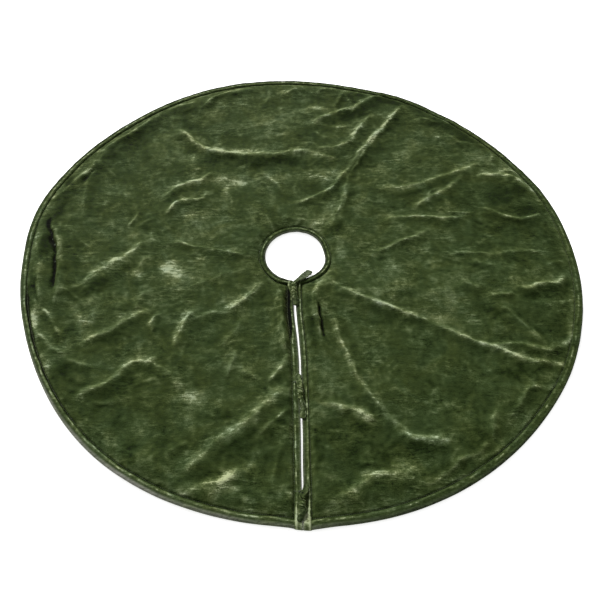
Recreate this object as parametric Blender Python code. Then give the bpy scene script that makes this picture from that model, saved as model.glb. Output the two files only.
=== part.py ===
"""Round velvet tree skirt, 1.22 m across, laid flat round its trunk hole and tied shut.

Frame: metres, +Z up. The origin is the centre of the trunk hole, on the floor, and the slit runs
from the trunk hole to the hem along -Y. The back half stays still. The two front flaps fold up
about the X axis, so a piece that crosses a fold line is made in one stretch for each body.
"""

import math
from collections import namedtuple

import bmesh
import bpy
from mathutils import Vector

# Driving dimensions.
SKIRT_RADIUS = 0.610
HOLE_RADIUS = 0.068
RIM_BAND_WIDTH = 0.014
HOLE_BAND_WIDTH = 0.013
SLIT_BAND_WIDTH = 0.0115
SLIT_GAP = 0.006
LINING_THICKNESS = 0.0010
VELVET_THICKNESS = 0.0022
BAND_HEIGHT = 0.0050
THREAD_WIDTH = 0.0012
THREAD_HEIGHT = 0.0005
TIE_TUBE_RADIUS = 0.0024
FOLD_AXIS_HEIGHT = 0.0062

# Clearances between pieces that touch on the real skirt.
TOUCH_GAP = 0.0003
FOLD_HALF_GAP = 0.0004
CORNER_GAP = 0.0010

# Heights and widths that follow from them.
VELVET_BOTTOM = LINING_THICKNESS + TOUCH_GAP
VELVET_TOP = VELVET_BOTTOM + VELVET_THICKNESS
THREAD_BOTTOM = VELVET_TOP + TOUCH_GAP
FACE_INNER = HOLE_RADIUS + HOLE_BAND_WIDTH + TOUCH_GAP
FACE_OUTER = SKIRT_RADIUS - RIM_BAND_WIDTH - TOUCH_GAP
SLIT_EDGE = SLIT_GAP / 2
FACE_SLIT_EDGE = SLIT_EDGE + SLIT_BAND_WIDTH + TOUCH_GAP

# Facets round the whole circle.
RIM_FACETS = 96
HOLE_FACETS = 48

# Rolled hem seen end on, as shares of its width (from the open edge inwards) and of its height.
BAND_PROFILE = (
    (0.10, 0.00),
    (0.97, 0.00),
    (1.00, 0.25),
    (0.97, 0.70),
    (0.55, 1.00),
    (0.15, 0.85),
    (0.00, 0.40),
)

# Each pair of ties is twisted together along the slit, between these two distances from the centre.
# The left tie starts at the inner end of the twist and the right one at the outer end.
TWIST_SPANS = {"top": (0.083, 0.111), "middle": (0.334, 0.362), "bottom": (0.560, 0.586)}
TWIST_TURNS = 1.5
TWIST_RADIUS = 0.0027
TWIST_HEIGHT = 0.0108
TWIST_STEPS = 15
ROOT_RUN = 0.012
ROOT_HEIGHT = 0.0030
ROUTE_SPACING = 0.0024

# Free tails of the ties, as (x, y, z) route points after the twist.
LEFT_TAILS = {
    "top": ((0.0016, -0.120, 0.0122), (0.0028, -0.129, 0.0090), (0.0030, -0.138, 0.0079)),
    "middle": (
        (0.0026, -0.371, 0.0122),
        (0.0042, -0.380, 0.0090),
        (0.0038, -0.392, 0.0079),
        (0.0022, -0.404, 0.0079),
    ),
    "bottom": ((-0.0022, -0.593, 0.0124), (-0.0046, -0.599, 0.0096), (-0.0060, -0.605, 0.0080)),
}
RIGHT_TAILS = {
    "top": (
        (0.0050, -0.0755, 0.0128),
        (0.0120, -0.0675, 0.0108),
        (0.0190, -0.0580, 0.0088),
        (0.0258, -0.0485, 0.0062),
        (0.0300, -0.0410, 0.0034),
    ),
    "middle": ((-0.0020, -0.325, 0.0122), (-0.0036, -0.316, 0.0092), (-0.0030, -0.305, 0.0079)),
    "bottom": ((0.0034, -0.551, 0.0122), (0.0058, -0.543, 0.0092), (0.0064, -0.535, 0.0079)),
}

# A bar tack is the dense stitching that holds a tie's end inside the slit hem.
TACK_LENGTH = 0.0080
TACK_WIDTH = 0.0030
TACK_CENTRE = SLIT_EDGE + 0.55 * SLIT_BAND_WIDTH

# A sector is a stretch of the ring between two directions in degrees. Each cut edge is a straight
# line parallel to its direction, set back from it by the distance given.
Sector = namedtuple("Sector", "start start_setback end end_setback")
BACK = Sector(0, FOLD_HALF_GAP, 180, FOLD_HALF_GAP)
LEFT_EDGED = Sector(180, FOLD_HALF_GAP, 270, SLIT_EDGE)
LEFT_FACED = Sector(180, FOLD_HALF_GAP, 270, FACE_SLIT_EDGE)
RIGHT_EDGED = Sector(270, SLIT_EDGE, 360, FOLD_HALF_GAP)
RIGHT_FACED = Sector(270, FACE_SLIT_EDGE, 360, FOLD_HALF_GAP)


def clear_scene():
    for obj in list(bpy.data.objects):
        bpy.data.objects.remove(obj, do_unlink=True)


def make_material(name, colour, roughness):
    material = bpy.data.materials.new(name)
    material.use_nodes = True
    shader = material.node_tree.nodes["Principled BSDF"]
    shader.inputs["Base Color"].default_value = (*colour, 1.0)
    shader.inputs["Roughness"].default_value = roughness
    shader.inputs["Metallic"].default_value = 0.0
    return material


def make_body(name):
    """An empty on the fold line, which the pieces of one flap hang from."""
    body = bpy.data.objects.new(name, None)
    body.location = (0.0, 0.0, FOLD_AXIS_HEIGHT)
    bpy.context.collection.objects.link(body)
    return body


def add_piece(name, data, material, body):
    """Links the piece and hangs it from its body, with its origin on the fold line."""
    data.materials.append(material)
    piece = bpy.data.objects.new(name, data)
    bpy.context.collection.objects.link(piece)
    if body is not None:
        piece.parent = body
        piece.matrix_parent_inverse.identity()
    return piece


def finish_mesh(mesh, name, body):
    """Turns a bmesh in world coordinates into mesh data measured from its body's origin."""
    bmesh.ops.recalc_face_normals(mesh, faces=mesh.faces[:])
    if body is not None:
        bmesh.ops.translate(mesh, verts=mesh.verts[:], vec=-Vector(body.location))
    data = bpy.data.meshes.new(name)
    mesh.to_mesh(data)
    mesh.free()
    data.shade_smooth()
    data.set_sharp_from_angle(angle=math.radians(40))
    return data


def sector_angle(sector, radius, share):
    """Direction in radians of a point that far along the sector, on a circle of this radius."""
    first = math.radians(sector.start) + math.asin(sector.start_setback / radius)
    last = math.radians(sector.end) - math.asin(sector.end_setback / radius)
    return first + (last - first) * share


def on_circle(radius, angle, height):
    return Vector((radius * math.cos(angle), radius * math.sin(angle), height))


def sector_steps(sector, facets):
    return round(facets * (sector.end - sector.start) / 360)


def skin_rings(mesh, rings):
    """Closes a solid between rings of points that follow each other."""
    rows = [[mesh.verts.new(point) for point in ring] for ring in rings]
    count = len(rows[0])
    for row, following in zip(rows, rows[1:]):
        for i in range(count):
            j = (i + 1) % count
            mesh.faces.new((row[i], row[j], following[j], following[i]))
    mesh.faces.new(rows[0])
    mesh.faces.new(rows[-1])


def sector_plate(name, sector, bottom, thickness, material, body):
    """A flat layer of cloth between the trunk-hole hem and the rim hem."""
    mesh = bmesh.new()
    steps = sector_steps(sector, RIM_FACETS)
    rows = []
    for step in range(steps + 1):
        row = [
            mesh.verts.new(on_circle(radius, sector_angle(sector, radius, step / steps), bottom))
            for radius in (FACE_INNER, FACE_OUTER)
        ]
        rows.append(row)
    for row, following in zip(rows, rows[1:]):
        mesh.faces.new((row[0], row[1], following[1], following[0]))
    grown = bmesh.ops.extrude_face_region(mesh, geom=mesh.faces[:])
    raised = [part for part in grown["geom"] if isinstance(part, bmesh.types.BMVert)]
    bmesh.ops.translate(mesh, verts=raised, vec=(0.0, 0.0, thickness))
    add_piece(name, finish_mesh(mesh, name, body), material, body)


def arc_strip(name, sector, facets, profile, material, body):
    """A strip of the given (radius, height) profile, swept along the sector."""
    mesh = bmesh.new()
    steps = sector_steps(sector, facets)
    rings = [
        [on_circle(r, sector_angle(sector, r, step / steps), z) for r, z in profile]
        for step in range(steps + 1)
    ]
    skin_rings(mesh, rings)
    add_piece(name, finish_mesh(mesh, name, body), material, body)


def slit_strip(name, side, inner, outer, profile, material, body):
    """A strip of the given (distance from the slit's middle, height) profile, swept along the slit.

    Its ends follow the circles of radius inner and outer. side is -1 on the left and 1 on the right.
    """
    mesh = bmesh.new()
    rings = [
        [Vector((side * x, -math.sqrt(radius**2 - x**2), z)) for x, z in profile]
        for radius in (inner, outer)
    ]
    skin_rings(mesh, rings)
    add_piece(name, finish_mesh(mesh, name, body), material, body)


def band_profile(edge, direction, width):
    """The hem's profile, from its open edge inwards, in metres."""
    return [
        (edge + direction * across * width, up * BAND_HEIGHT) for across, up in BAND_PROFILE
    ]


def thread_profile(middle):
    low, high = THREAD_BOTTOM, THREAD_BOTTOM + THREAD_HEIGHT
    near, far = middle - THREAD_WIDTH / 2, middle + THREAD_WIDTH / 2
    return [(near, low), (far, low), (far, high), (near, high)]


def smooth_route(points):
    """A smooth curve through the points, read at even spacing."""
    points = [Vector(point) for point in points]
    padded = [2 * points[0] - points[1], *points, 2 * points[-1] - points[-2]]
    fine = []
    for before, a, b, after in zip(padded, padded[1:], padded[2:], padded[3:]):
        for step in range(12):
            t = step / 12
            fine.append(
                0.5
                * (
                    2 * a
                    + (b - before) * t
                    + (2 * before - 5 * a + 4 * b - after) * t**2
                    + (3 * a - before - 3 * b + after) * t**3
                )
            )
    fine.append(points[-1])
    return even_points(fine)


def even_points(fine):
    lengths = [0.0]
    for a, b in zip(fine, fine[1:]):
        lengths.append(lengths[-1] + (b - a).length)
    count = max(2, round(lengths[-1] / ROUTE_SPACING))
    route = []
    at = 0
    for step in range(count + 1):
        goal = lengths[-1] * step / count
        while at < len(fine) - 2 and lengths[at + 1] < goal:
            at += 1
        share = (goal - lengths[at]) / (lengths[at + 1] - lengths[at])
        route.append(fine[at].lerp(fine[at + 1], min(1.0, share)))
    return route


def twist_points(span, outwards):
    """One strand of a twisted pair: it starts under the other strand and ends over it."""
    start, end = span if outwards else reversed(span)
    points = []
    for step in range(TWIST_STEPS + 1):
        share = step / TWIST_STEPS
        along = start + (end - start) * share
        turn = 2 * math.pi * TWIST_TURNS * (share if outwards else 1 - share)
        phase = turn if outwards else turn + math.pi
        points.append(
            (
                -TWIST_RADIUS * math.sin(phase),
                -along,
                TWIST_HEIGHT - TWIST_RADIUS * math.cos(phase),
            )
        )
    return points


def tie_route(place, side):
    """The tie leaves its seam inside the slit, twists with the other tie and ends in its free tail."""
    span = TWIST_SPANS[place]
    outwards = side == "left"
    first = span[0] - ROOT_RUN if outwards else span[1] + ROOT_RUN
    root = [(0.0, -first, ROOT_HEIGHT)]
    tail = LEFT_TAILS[place] if outwards else RIGHT_TAILS[place]
    return smooth_route([*root, *twist_points(span, outwards), *tail])


def tie(name, place, side, material, body):
    curve = bpy.data.curves.new(name, "CURVE")
    curve.dimensions = "3D"
    curve.bevel_depth = TIE_TUBE_RADIUS
    curve.bevel_resolution = 2
    curve.use_fill_caps = True
    route = tie_route(place, side)
    spline = curve.splines.new("POLY")
    spline.points.add(len(route) - 1)
    for point, place_at in zip(spline.points, route):
        point.co = (*(place_at - Vector(body.location)), 1.0)
    add_piece(name, curve, material, body)


def bar_tack(name, place, side, material, body):
    """Beside the spot where the tie leaves the slit hem, on top of the hem."""
    span = TWIST_SPANS[place]
    along = span[0] - ROOT_RUN if side == "left" else span[1] + ROOT_RUN
    across = -TACK_CENTRE if side == "left" else TACK_CENTRE
    mesh = bmesh.new()
    bmesh.ops.create_cube(mesh, size=1.0)
    bmesh.ops.scale(mesh, verts=mesh.verts[:], vec=(TACK_LENGTH, TACK_WIDTH, THREAD_HEIGHT))
    middle = (across, -along, BAND_HEIGHT + TOUCH_GAP + THREAD_HEIGHT / 2)
    bmesh.ops.translate(mesh, verts=mesh.verts[:], vec=middle)
    add_piece(name, finish_mesh(mesh, name, body), material, body)


def cloth_layers(suffix, sector, materials, body):
    sector_plate(
        f"lining_{suffix}", sector, 0.0, LINING_THICKNESS, materials["lining"], body
    )
    sector_plate(
        f"velvet_face_{suffix}", sector, VELVET_BOTTOM, VELVET_THICKNESS, materials["velvet"], body
    )


def round_hems(suffix, sector, materials, body):
    rim = band_profile(SKIRT_RADIUS, -1, RIM_BAND_WIDTH)
    arc_strip(f"rim_hem_{suffix}", sector, RIM_FACETS, rim, materials["hem"], body)
    hole = band_profile(HOLE_RADIUS, 1, HOLE_BAND_WIDTH)
    arc_strip(f"trunk_hole_hem_{suffix}", sector, HOLE_FACETS, hole, materials["hem"], body)


def round_topstitches(suffix, sector, materials, body):
    rim = thread_profile(FACE_OUTER - THREAD_WIDTH)
    arc_strip(f"rim_topstitch_{suffix}", sector, RIM_FACETS, rim, materials["thread"], body)
    hole = thread_profile(FACE_INNER + THREAD_WIDTH)
    arc_strip(
        f"trunk_hole_topstitch_{suffix}", sector, HOLE_FACETS, hole, materials["thread"], body
    )


def slit_edge(suffix, side, materials, body):
    """The hem and the stitch line along one edge of the slit."""
    hem = band_profile(SLIT_EDGE, 1, SLIT_BAND_WIDTH)
    hem_inner = HOLE_RADIUS + HOLE_BAND_WIDTH + CORNER_GAP
    hem_outer = SKIRT_RADIUS - RIM_BAND_WIDTH - CORNER_GAP
    slit_strip(f"slit_hem_{suffix}", side, hem_inner, hem_outer, hem, materials["hem"], body)
    thread = thread_profile(FACE_SLIT_EDGE + THREAD_WIDTH)
    thread_inner = FACE_INNER + 3 * THREAD_WIDTH
    thread_outer = FACE_OUTER - 3 * THREAD_WIDTH
    slit_strip(
        f"slit_topstitch_{suffix}",
        side,
        thread_inner,
        thread_outer,
        thread,
        materials["thread"],
        body,
    )


def back_half(materials):
    cloth_layers("back", BACK, materials, None)
    round_hems("back", BACK, materials, None)
    round_topstitches("back", BACK, materials, None)


def front_flap(suffix, side, edged, faced, materials):
    body = make_body(f"{suffix}_flap_fold")
    cloth_layers(suffix, faced, materials, body)
    round_hems(suffix, edged, materials, body)
    round_topstitches(suffix, faced, materials, body)
    slit_edge(suffix, side, materials, body)
    for place in TWIST_SPANS:
        tie(f"tie_{place}_{suffix}", place, suffix, materials["tie"], body)
        bar_tack(f"bar_tack_{place}_{suffix}", place, suffix, materials["thread"], body)


def main():
    clear_scene()
    materials = {
        "velvet": make_material("velvet_face", (0.040, 0.060, 0.022), 0.75),
        "hem": make_material("velvet_hem", (0.050, 0.070, 0.028), 0.75),
        "tie": make_material("velvet_tie", (0.055, 0.075, 0.032), 0.75),
        "lining": make_material("lining", (0.045, 0.060, 0.030), 0.85),
        "thread": make_material("thread", (0.090, 0.115, 0.055), 0.55),
    }
    back_half(materials)
    front_flap("left", -1, LEFT_EDGED, LEFT_FACED, materials)
    front_flap("right", 1, RIGHT_EDGED, RIGHT_FACED, materials)


main()
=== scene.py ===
"""Looks of the tree skirt: crushed green velvet with rolled hems, knotted velvet ties and a cotton lining."""

import math
from collections import namedtuple

import bmesh
import bpy
import numpy as np
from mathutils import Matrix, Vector


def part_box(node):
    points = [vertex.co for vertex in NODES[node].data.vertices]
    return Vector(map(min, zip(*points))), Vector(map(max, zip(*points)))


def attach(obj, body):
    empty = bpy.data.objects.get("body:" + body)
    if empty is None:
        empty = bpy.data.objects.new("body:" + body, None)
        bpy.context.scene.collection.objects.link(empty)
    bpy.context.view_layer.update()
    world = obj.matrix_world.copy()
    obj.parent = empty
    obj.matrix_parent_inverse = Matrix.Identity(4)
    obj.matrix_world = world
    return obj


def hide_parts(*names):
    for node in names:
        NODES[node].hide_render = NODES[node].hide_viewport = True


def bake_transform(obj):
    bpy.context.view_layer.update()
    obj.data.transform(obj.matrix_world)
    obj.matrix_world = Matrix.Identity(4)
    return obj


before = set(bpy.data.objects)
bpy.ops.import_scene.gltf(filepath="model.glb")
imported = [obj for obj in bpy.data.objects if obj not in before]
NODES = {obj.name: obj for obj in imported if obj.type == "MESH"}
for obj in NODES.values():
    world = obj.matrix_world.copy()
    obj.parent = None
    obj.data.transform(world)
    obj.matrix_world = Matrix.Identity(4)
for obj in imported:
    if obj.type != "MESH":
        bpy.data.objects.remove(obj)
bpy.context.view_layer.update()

# ---------------------------------------------------------------- sizes read from the frame
BACK, LEFT, RIGHT = "back_half", "left_flap", "right_flap"
SIDES = {"left": LEFT, "right": RIGHT}
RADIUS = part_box("rim_hem_back")[1].x
RIM_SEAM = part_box("velvet_face_back")[1].x
HOLE_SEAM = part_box("trunk_hole_hem_back")[1].x
SLIT_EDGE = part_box("slit_hem_right")[0].x
SLIT_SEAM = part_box("slit_hem_right")[1].x
VELVET_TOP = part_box("velvet_face_back")[1].z
HEM_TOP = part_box("rim_hem_back")[1].z


def inner_radius(node):
    """The smallest distance of a node's corners from the middle of the trunk hole."""
    return min(math.hypot(v.co.x, v.co.y) for v in NODES[node].data.vertices)


HOLE_EDGE = inner_radius("trunk_hole_hem_back")

# The cloths are cut in two for the two flaps, along the packing crease that runs back from the hole.
CREASE_ANGLE = math.radians(60)
SLIT_ANGLES = {"left": math.radians(270), "right": math.radians(-90)}


# ---------------------------------------------------------------- camera
CAMERA_PLACE = (-0.0157, -1.0737, 1.3143)
CAMERA_AIM = (0.0056, -0.1180, 0.0)
LENS = 45.57


def look_at(obj, place, aim):
    obj.location = place
    obj.rotation_mode = "QUATERNION"
    obj.rotation_quaternion = (Vector(aim) - Vector(place)).to_track_quat("-Z", "Y")
    bpy.context.collection.objects.link(obj)


def make_camera():
    data = bpy.data.cameras.new("camera")
    data.lens = LENS
    data.sensor_width = 36.0
    camera = bpy.data.objects.new("camera", data)
    look_at(camera, CAMERA_PLACE, CAMERA_AIM)
    bpy.context.scene.camera = camera


# ---------------------------------------------------------------- smooth random fields
NOISE_TURNS = np.random.default_rng(7).uniform(0.0, 2 * np.pi, (256, 256))
NOISE_X, NOISE_Y = np.cos(NOISE_TURNS), np.sin(NOISE_TURNS)


def noise(x, y, size, seed):
    """Gradient noise from about -1 to 1, with features of this size in metres."""
    u, v = x / size + 7.3 * seed, y / size + 3.1 * seed
    iu, iv = np.floor(u).astype(int), np.floor(v).astype(int)
    fu, fv = u - iu, v - iv

    def corner(du, dv):
        a, b = (iu + du) & 255, (iv + dv) & 255
        return NOISE_X[a, b] * (fu - du) + NOISE_Y[a, b] * (fv - dv)

    su = fu * fu * fu * (fu * (6 * fu - 15) + 10)
    sv = fv * fv * fv * (fv * (6 * fv - 15) + 10)
    low = corner(0, 0) * (1 - su) + corner(1, 0) * su
    high = corner(0, 1) * (1 - su) + corner(1, 1) * su
    return 1.5 * (low * (1 - sv) + high * sv)


def layers(x, y, size, seed, count=3, fade=0.5):
    """Noise of several sizes, each half the one before."""
    return sum(fade**i * noise(x, y, size / 2**i, seed + i) for i in range(count))


def ease(low, high, value):
    """0 below low, 1 above high and smooth in between."""
    t = np.clip((value - low) / (high - low), 0.0, 1.0)
    return t * t * (3 - 2 * t)


def bell(value, middle, width):
    """1 at the middle, falling away on both sides."""
    return np.exp(-(((value - middle) / width) ** 2))


def direction(x, y):
    """The direction of a point from the middle of the trunk hole, from 0 to 360 degrees."""
    return np.degrees(np.arctan2(y, x)) % 360


# ---------------------------------------------------------------- the lie of the cloth and its painted light
# A fold's crest is seen this much further back than the fold's foot, as a share of its height.
SEEN_BACK = 1.25

Fold = namedtuple("Fold", "height width route")


def fold(height, width, *route):
    """A fold that stands up from the floor: its height, half width and the route on which its crest is
    seen from the front, in millimetres."""
    route = [(x / 1000, (y - SEEN_BACK * height) / 1000) for x, y in route]
    return Fold(height / 1000, width / 1000, route)


def pinch(depth, width, *route):
    """A narrow route, in millimetres, where the cloth is pinched down, with a depth from 0 to 1."""
    return Fold(depth, width / 1000, [(x / 1000, y / 1000) for x, y in route])


BACK_LEFT_FOLDS = (
    fold(9, 9, (-290, 460), (-280, 414), (-250, 378), (-210, 349), (-150, 334), (-100, 329)),
    fold(9, 9, (-150, 334), (-80, 328), (-30, 332), (20, 340), (50, 345)),
    fold(6, 6, (-490, 325), (-460, 370), (-410, 410), (-380, 445), (-350, 480), (-310, 515)),
    fold(6.5, 6, (-330, 500), (-290, 520), (-265, 525), (-250, 545)),
    fold(7, 6, (-245, 500), (-220, 525), (-200, 550), (-150, 572), (-90, 583)),
    fold(3, 8, (-310, 480), (-305, 440), (-295, 400)),
    fold(5.5, 6, (-575, 180), (-555, 205), (-530, 240), (-510, 265), (-490, 290), (-485, 325)),
    fold(3, 6, (-480, 300), (-490, 250), (-495, 200), (-490, 140)),
    fold(6, 7, (-320, 175), (-300, 200), (-280, 220), (-250, 235), (-220, 245), (-185, 280)),
    fold(5.5, 5, (-305, 125), (-285, 150), (-275, 170), (-250, 175), (-220, 178), (-205, 210)),
    fold(4, 5, (-310, 25), (-290, 45), (-260, 46), (-230, 35), (-170, 20), (-90, -5)),
    fold(6.2, 12, (-318, 72), (-358, 28), (-400, -10), (-440, -42), (-470, -68), (-515, -90)),
    fold(3.5, 4, (-385, 95), (-370, 120), (-360, 145)),
    fold(3, 4, (-360, 90), (-340, 110), (-315, 117)),
    fold(3, 4, (-530, 100), (-510, 90), (-490, 60), (-455, 30)),
    fold(3.5, 5, (-85, 278), (-60, 245), (-40, 220), (-20, 185)),
    fold(2.5, 5, (-100, 245), (-70, 225), (-55, 190)),
    fold(3, 4, (-175, 210), (-150, 180), (-145, 150)),
    fold(3, 4, (-70, 125), (-55, 95), (-45, 72)),
    fold(2.2, 3, (-25, 120), (0, 108), (25, 103)),
    fold(3.5, 5, (-63, 582), (-60, 545), (-75, 505)),
    fold(3.5, 5, (-35, 545), (-15, 562), (20, 578)),
    fold(3, 8, (-245, 330), (-245, 290), (-235, 260)),
)
BACK_RIGHT_FOLDS = (
    fold(6, 6, (-20, 162), (20, 170), (60, 190), (90, 215), (120, 260), (150, 305)),
    fold(6, 6, (120, 260), (160, 322), (200, 385), (240, 437), (270, 480), (305, 525)),
    fold(3, 3, (125, 235), (150, 285), (190, 350), (220, 400), (250, 440)),
    fold(5.5, 8, (135, 245), (120, 200), (110, 170), (95, 120), (70, 75)),
    fold(3, 4, (135, 270), (125, 220), (120, 180), (105, 120)),
    fold(5.5, 8, (30, 350), (90, 345), (130, 360), (155, 395), (180, 435), (220, 480)),
    fold(7.5, 8, (40, 425), (65, 450), (100, 475), (140, 488), (180, 510), (210, 535)),
    fold(6, 6, (165, 505), (200, 530), (232, 542), (265, 533), (305, 515)),
    fold(4.5, 5, (105, 490), (120, 530), (150, 565)),
    fold(4.5, 4, (140, 555), (145, 530), (155, 500)),
    fold(3.5, 4, (160, 565), (185, 545), (200, 530)),
    fold(3, 4, (20, 592), (35, 568), (60, 558)),
    fold(3, 4, (60, 560), (90, 572), (120, 565)),
    fold(2.5, 5, (60, 433), (100, 425), (140, 420)),
    fold(3, 4, (50, 405), (70, 385), (90, 380)),
    fold(3, 5, (30, 345), (60, 322), (110, 312)),
    fold(5.5, 8, (180, 205), (240, 208), (300, 218), (350, 238), (410, 260), (475, 296)),
    fold(5.5, 7, (260, 125), (280, 145), (310, 165), (350, 190), (380, 215), (420, 258)),
    fold(3, 4, (310, 165), (320, 190), (340, 203)),
    fold(4.5, 5, (180, 105), (240, 113), (300, 113), (330, 105), (380, 110), (415, 118)),
    fold(3, 3, (340, 125), (380, 121), (420, 122)),
    fold(5.5, 5, (420, 142), (450, 132), (480, 115), (510, 102), (550, 107), (590, 120)),
    fold(7, 9, (430, 235), (460, 243), (500, 241), (530, 226), (560, 203), (580, 180)),
    fold(3.5, 4, (490, 250), (530, 257), (550, 240), (565, 210)),
    fold(4.5, 5, (475, 330), (488, 310), (480, 285)),
    fold(4, 5, (385, 385), (405, 372), (420, 355), (450, 348)),
    fold(3.5, 4, (300, 435), (330, 450), (350, 440), (385, 430)),
    fold(3.5, 4, (350, 465), (385, 442), (425, 415)),
    fold(4.5, 6, (150, 3), (190, 14), (220, 30), (280, 55), (320, 88)),
    fold(3, 4, (330, 3), (390, 0), (450, -2), (510, 5), (570, 0)),
)
FRONT_RIGHT_FOLDS = (
    fold(7, 6, (65, -60), (90, -85), (120, -105), (170, -130), (230, -158), (290, -185)),
    fold(7.5, 6, (260, -170), (310, -197), (350, -222), (410, -250), (460, -277), (500, -282)),
    fold(6, 5, (460, -277), (500, -282), (530, -288), (560, -305)),
    fold(6.5, 6, (370, -247), (410, -240), (450, -237), (480, -248), (505, -257), (530, -245)),
    fold(6, 6, (500, -257), (530, -245), (560, -225), (580, -190)),
    fold(7.5, 7, (465, -97), (500, -96), (530, -86), (565, -82), (600, -50)),
    fold(5, 5, (400, -112), (430, -115), (465, -118)),
    fold(4, 6, (350, -70), (370, -85), (400, -105)),
    fold(4.5, 8, (410, -120), (430, -145), (455, -175), (480, -210), (505, -255)),
    fold(3, 4, (490, -142), (510, -138), (540, -145)),
    fold(3.5, 5, (385, -18), (410, -30), (440, -40)),
    fold(3.5, 4, (550, -45), (565, -30), (595, -30)),
    fold(3.5, 4, (550, -145), (570, -137), (590, -128)),
    fold(5.5, 6, (55, -130), (75, -170), (85, -210), (100, -260), (110, -300), (130, -340)),
    fold(5.5, 6, (110, -300), (130, -340), (150, -370), (170, -400), (200, -430)),
    fold(8, 9, (170, -405), (190, -425), (210, -440), (240, -448), (285, -442)),
    fold(8, 7, (90, -55), (65, -60), (45, -80), (38, -110), (40, -150), (50, -210)),
    fold(3, 4, (25, -130), (35, -165), (38, -180)),
    fold(5.5, 8, (40, -360), (80, -378), (110, -386), (130, -397), (155, -410)),
    fold(6.5, 9, (50, -565), (90, -545), (110, -530), (130, -516), (170, -511), (230, -508)),
    fold(3, 4, (90, -490), (130, -494), (170, -500), (220, -500)),
    fold(6, 6, (200, -530), (240, -528), (270, -510), (295, -490), (330, -475), (370, -440)),
    fold(4, 4, (300, -507), (340, -485), (375, -465), (380, -435)),
    fold(4.5, 6, (365, -455), (365, -420), (372, -400), (385, -380)),
    fold(4.5, 5, (400, -410), (420, -380), (440, -355), (458, -338), (490, -342), (515, -325)),
)
FRONT_LEFT_FOLDS = (
    fold(8, 8, (-435, -355), (-420, -330), (-390, -317), (-365, -300), (-350, -275), (-320, -260)),
    fold(5.5, 7, (-350, -275), (-325, -262), (-300, -262), (-280, -250)),
    fold(3.5, 8, (-320, -260), (-280, -278), (-250, -305), (-230, -335)),
    fold(3.5, 4, (-410, -352), (-380, -357), (-345, -350)),
    fold(4.5, 4, (-550, -120), (-520, -150), (-500, -180), (-482, -218)),
    fold(5, 5, (-550, -155), (-530, -200), (-500, -230), (-470, -240), (-450, -235)),
    fold(4.5, 4, (-480, -248), (-450, -262), (-430, -272), (-415, -285)),
    fold(5.5, 8, (-460, -230), (-430, -210), (-380, -184), (-350, -160), (-315, -143), (-290, -136)),
    fold(7, 9, (-253, -235), (-246, -200), (-235, -170), (-225, -150), (-205, -135)),
    fold(3.5, 7, (-230, -175), (-190, -155), (-150, -142)),
    fold(6.5, 10, (-160, -148), (-130, -130), (-110, -110), (-90, -85), (-70, -55)),
    fold(3.5, 4, (-148, -315), (-137, -280), (-130, -240)),
    fold(3, 6, (-165, -240), (-140, -210), (-120, -175), (-95, -158)),
    fold(5.5, 6, (-65, -325), (-50, -300), (-30, -275), (-12, -245)),
    fold(3, 4, (-125, -287), (-100, -298), (-85, -318)),
    fold(8, 12, (-158, -445), (-125, -418), (-95, -394), (-70, -366), (-45, -343), (-12, -325)),
    fold(5, 12, (-220, -512), (-200, -487), (-180, -466), (-158, -445), (-130, -422)),
    fold(5, 6, (-85, -432), (-55, -406), (-35, -388), (-14, -370)),
    fold(6.5, 10, (-240, -543), (-210, -540), (-180, -529), (-140, -520), (-115, -500), (-100, -478)),
    fold(2.8, 4, (-55, -560), (-50, -510), (-45, -480), (-33, -435)),
    fold(2.8, 4, (-260, -472), (-230, -455), (-210, -442)),
    fold(2.5, 6, (-250, -90), (-200, -70), (-150, -45), (-85, -32)),
    fold(3.5, 7, (-350, -45), (-340, -10), (-310, 5)),
    fold(4.5, 5, (-276, -151), (-293, -150), (-306, -168), (-300, -198)),
    fold(4, 5, (-330, -85), (-332, -115), (-345, -140)),
)
# Cloth that bulges beside the stiff hems.
HEM_BULGES = (
    fold(8, 14, (-553, 150), (-548, 100), (-530, 40), (-518, -20), (-512, -90), (-525, -150)),
    fold(6.5, 11, (-580, 120), (-575, 50), (-562, -20), (-552, -90), (-545, -160)),
    fold(8.5, 10, (-45, -65), (-37, -100), (-36, -150), (-32, -200), (-22, -260)),
)
FOLDS = BACK_LEFT_FOLDS + BACK_RIGHT_FOLDS + FRONT_RIGHT_FOLDS + FRONT_LEFT_FOLDS + HEM_BULGES
PINCHES = (
    pinch(1, 4.4, (-570, 140), (-562, 95), (-550, 60), (-539, 30), (-531, -30), (-524, -95)),
    pinch(0.4, 4, (-505, 235), (-495, 255), (-485, 280)),
    pinch(0.9, 3, (44, -135), (46, -160), (50, -190), (54, -225)),
    pinch(0.6, 4, (-568, -50), (-560, -90), (-548, -130)),
)
# How strongly the patches below show, both the pile's and the painted light's.
DARK_NAPS_AND_SHADE, PALE_NAPS_AND_HIGHLIGHTS = 0.60, 0.85
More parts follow.
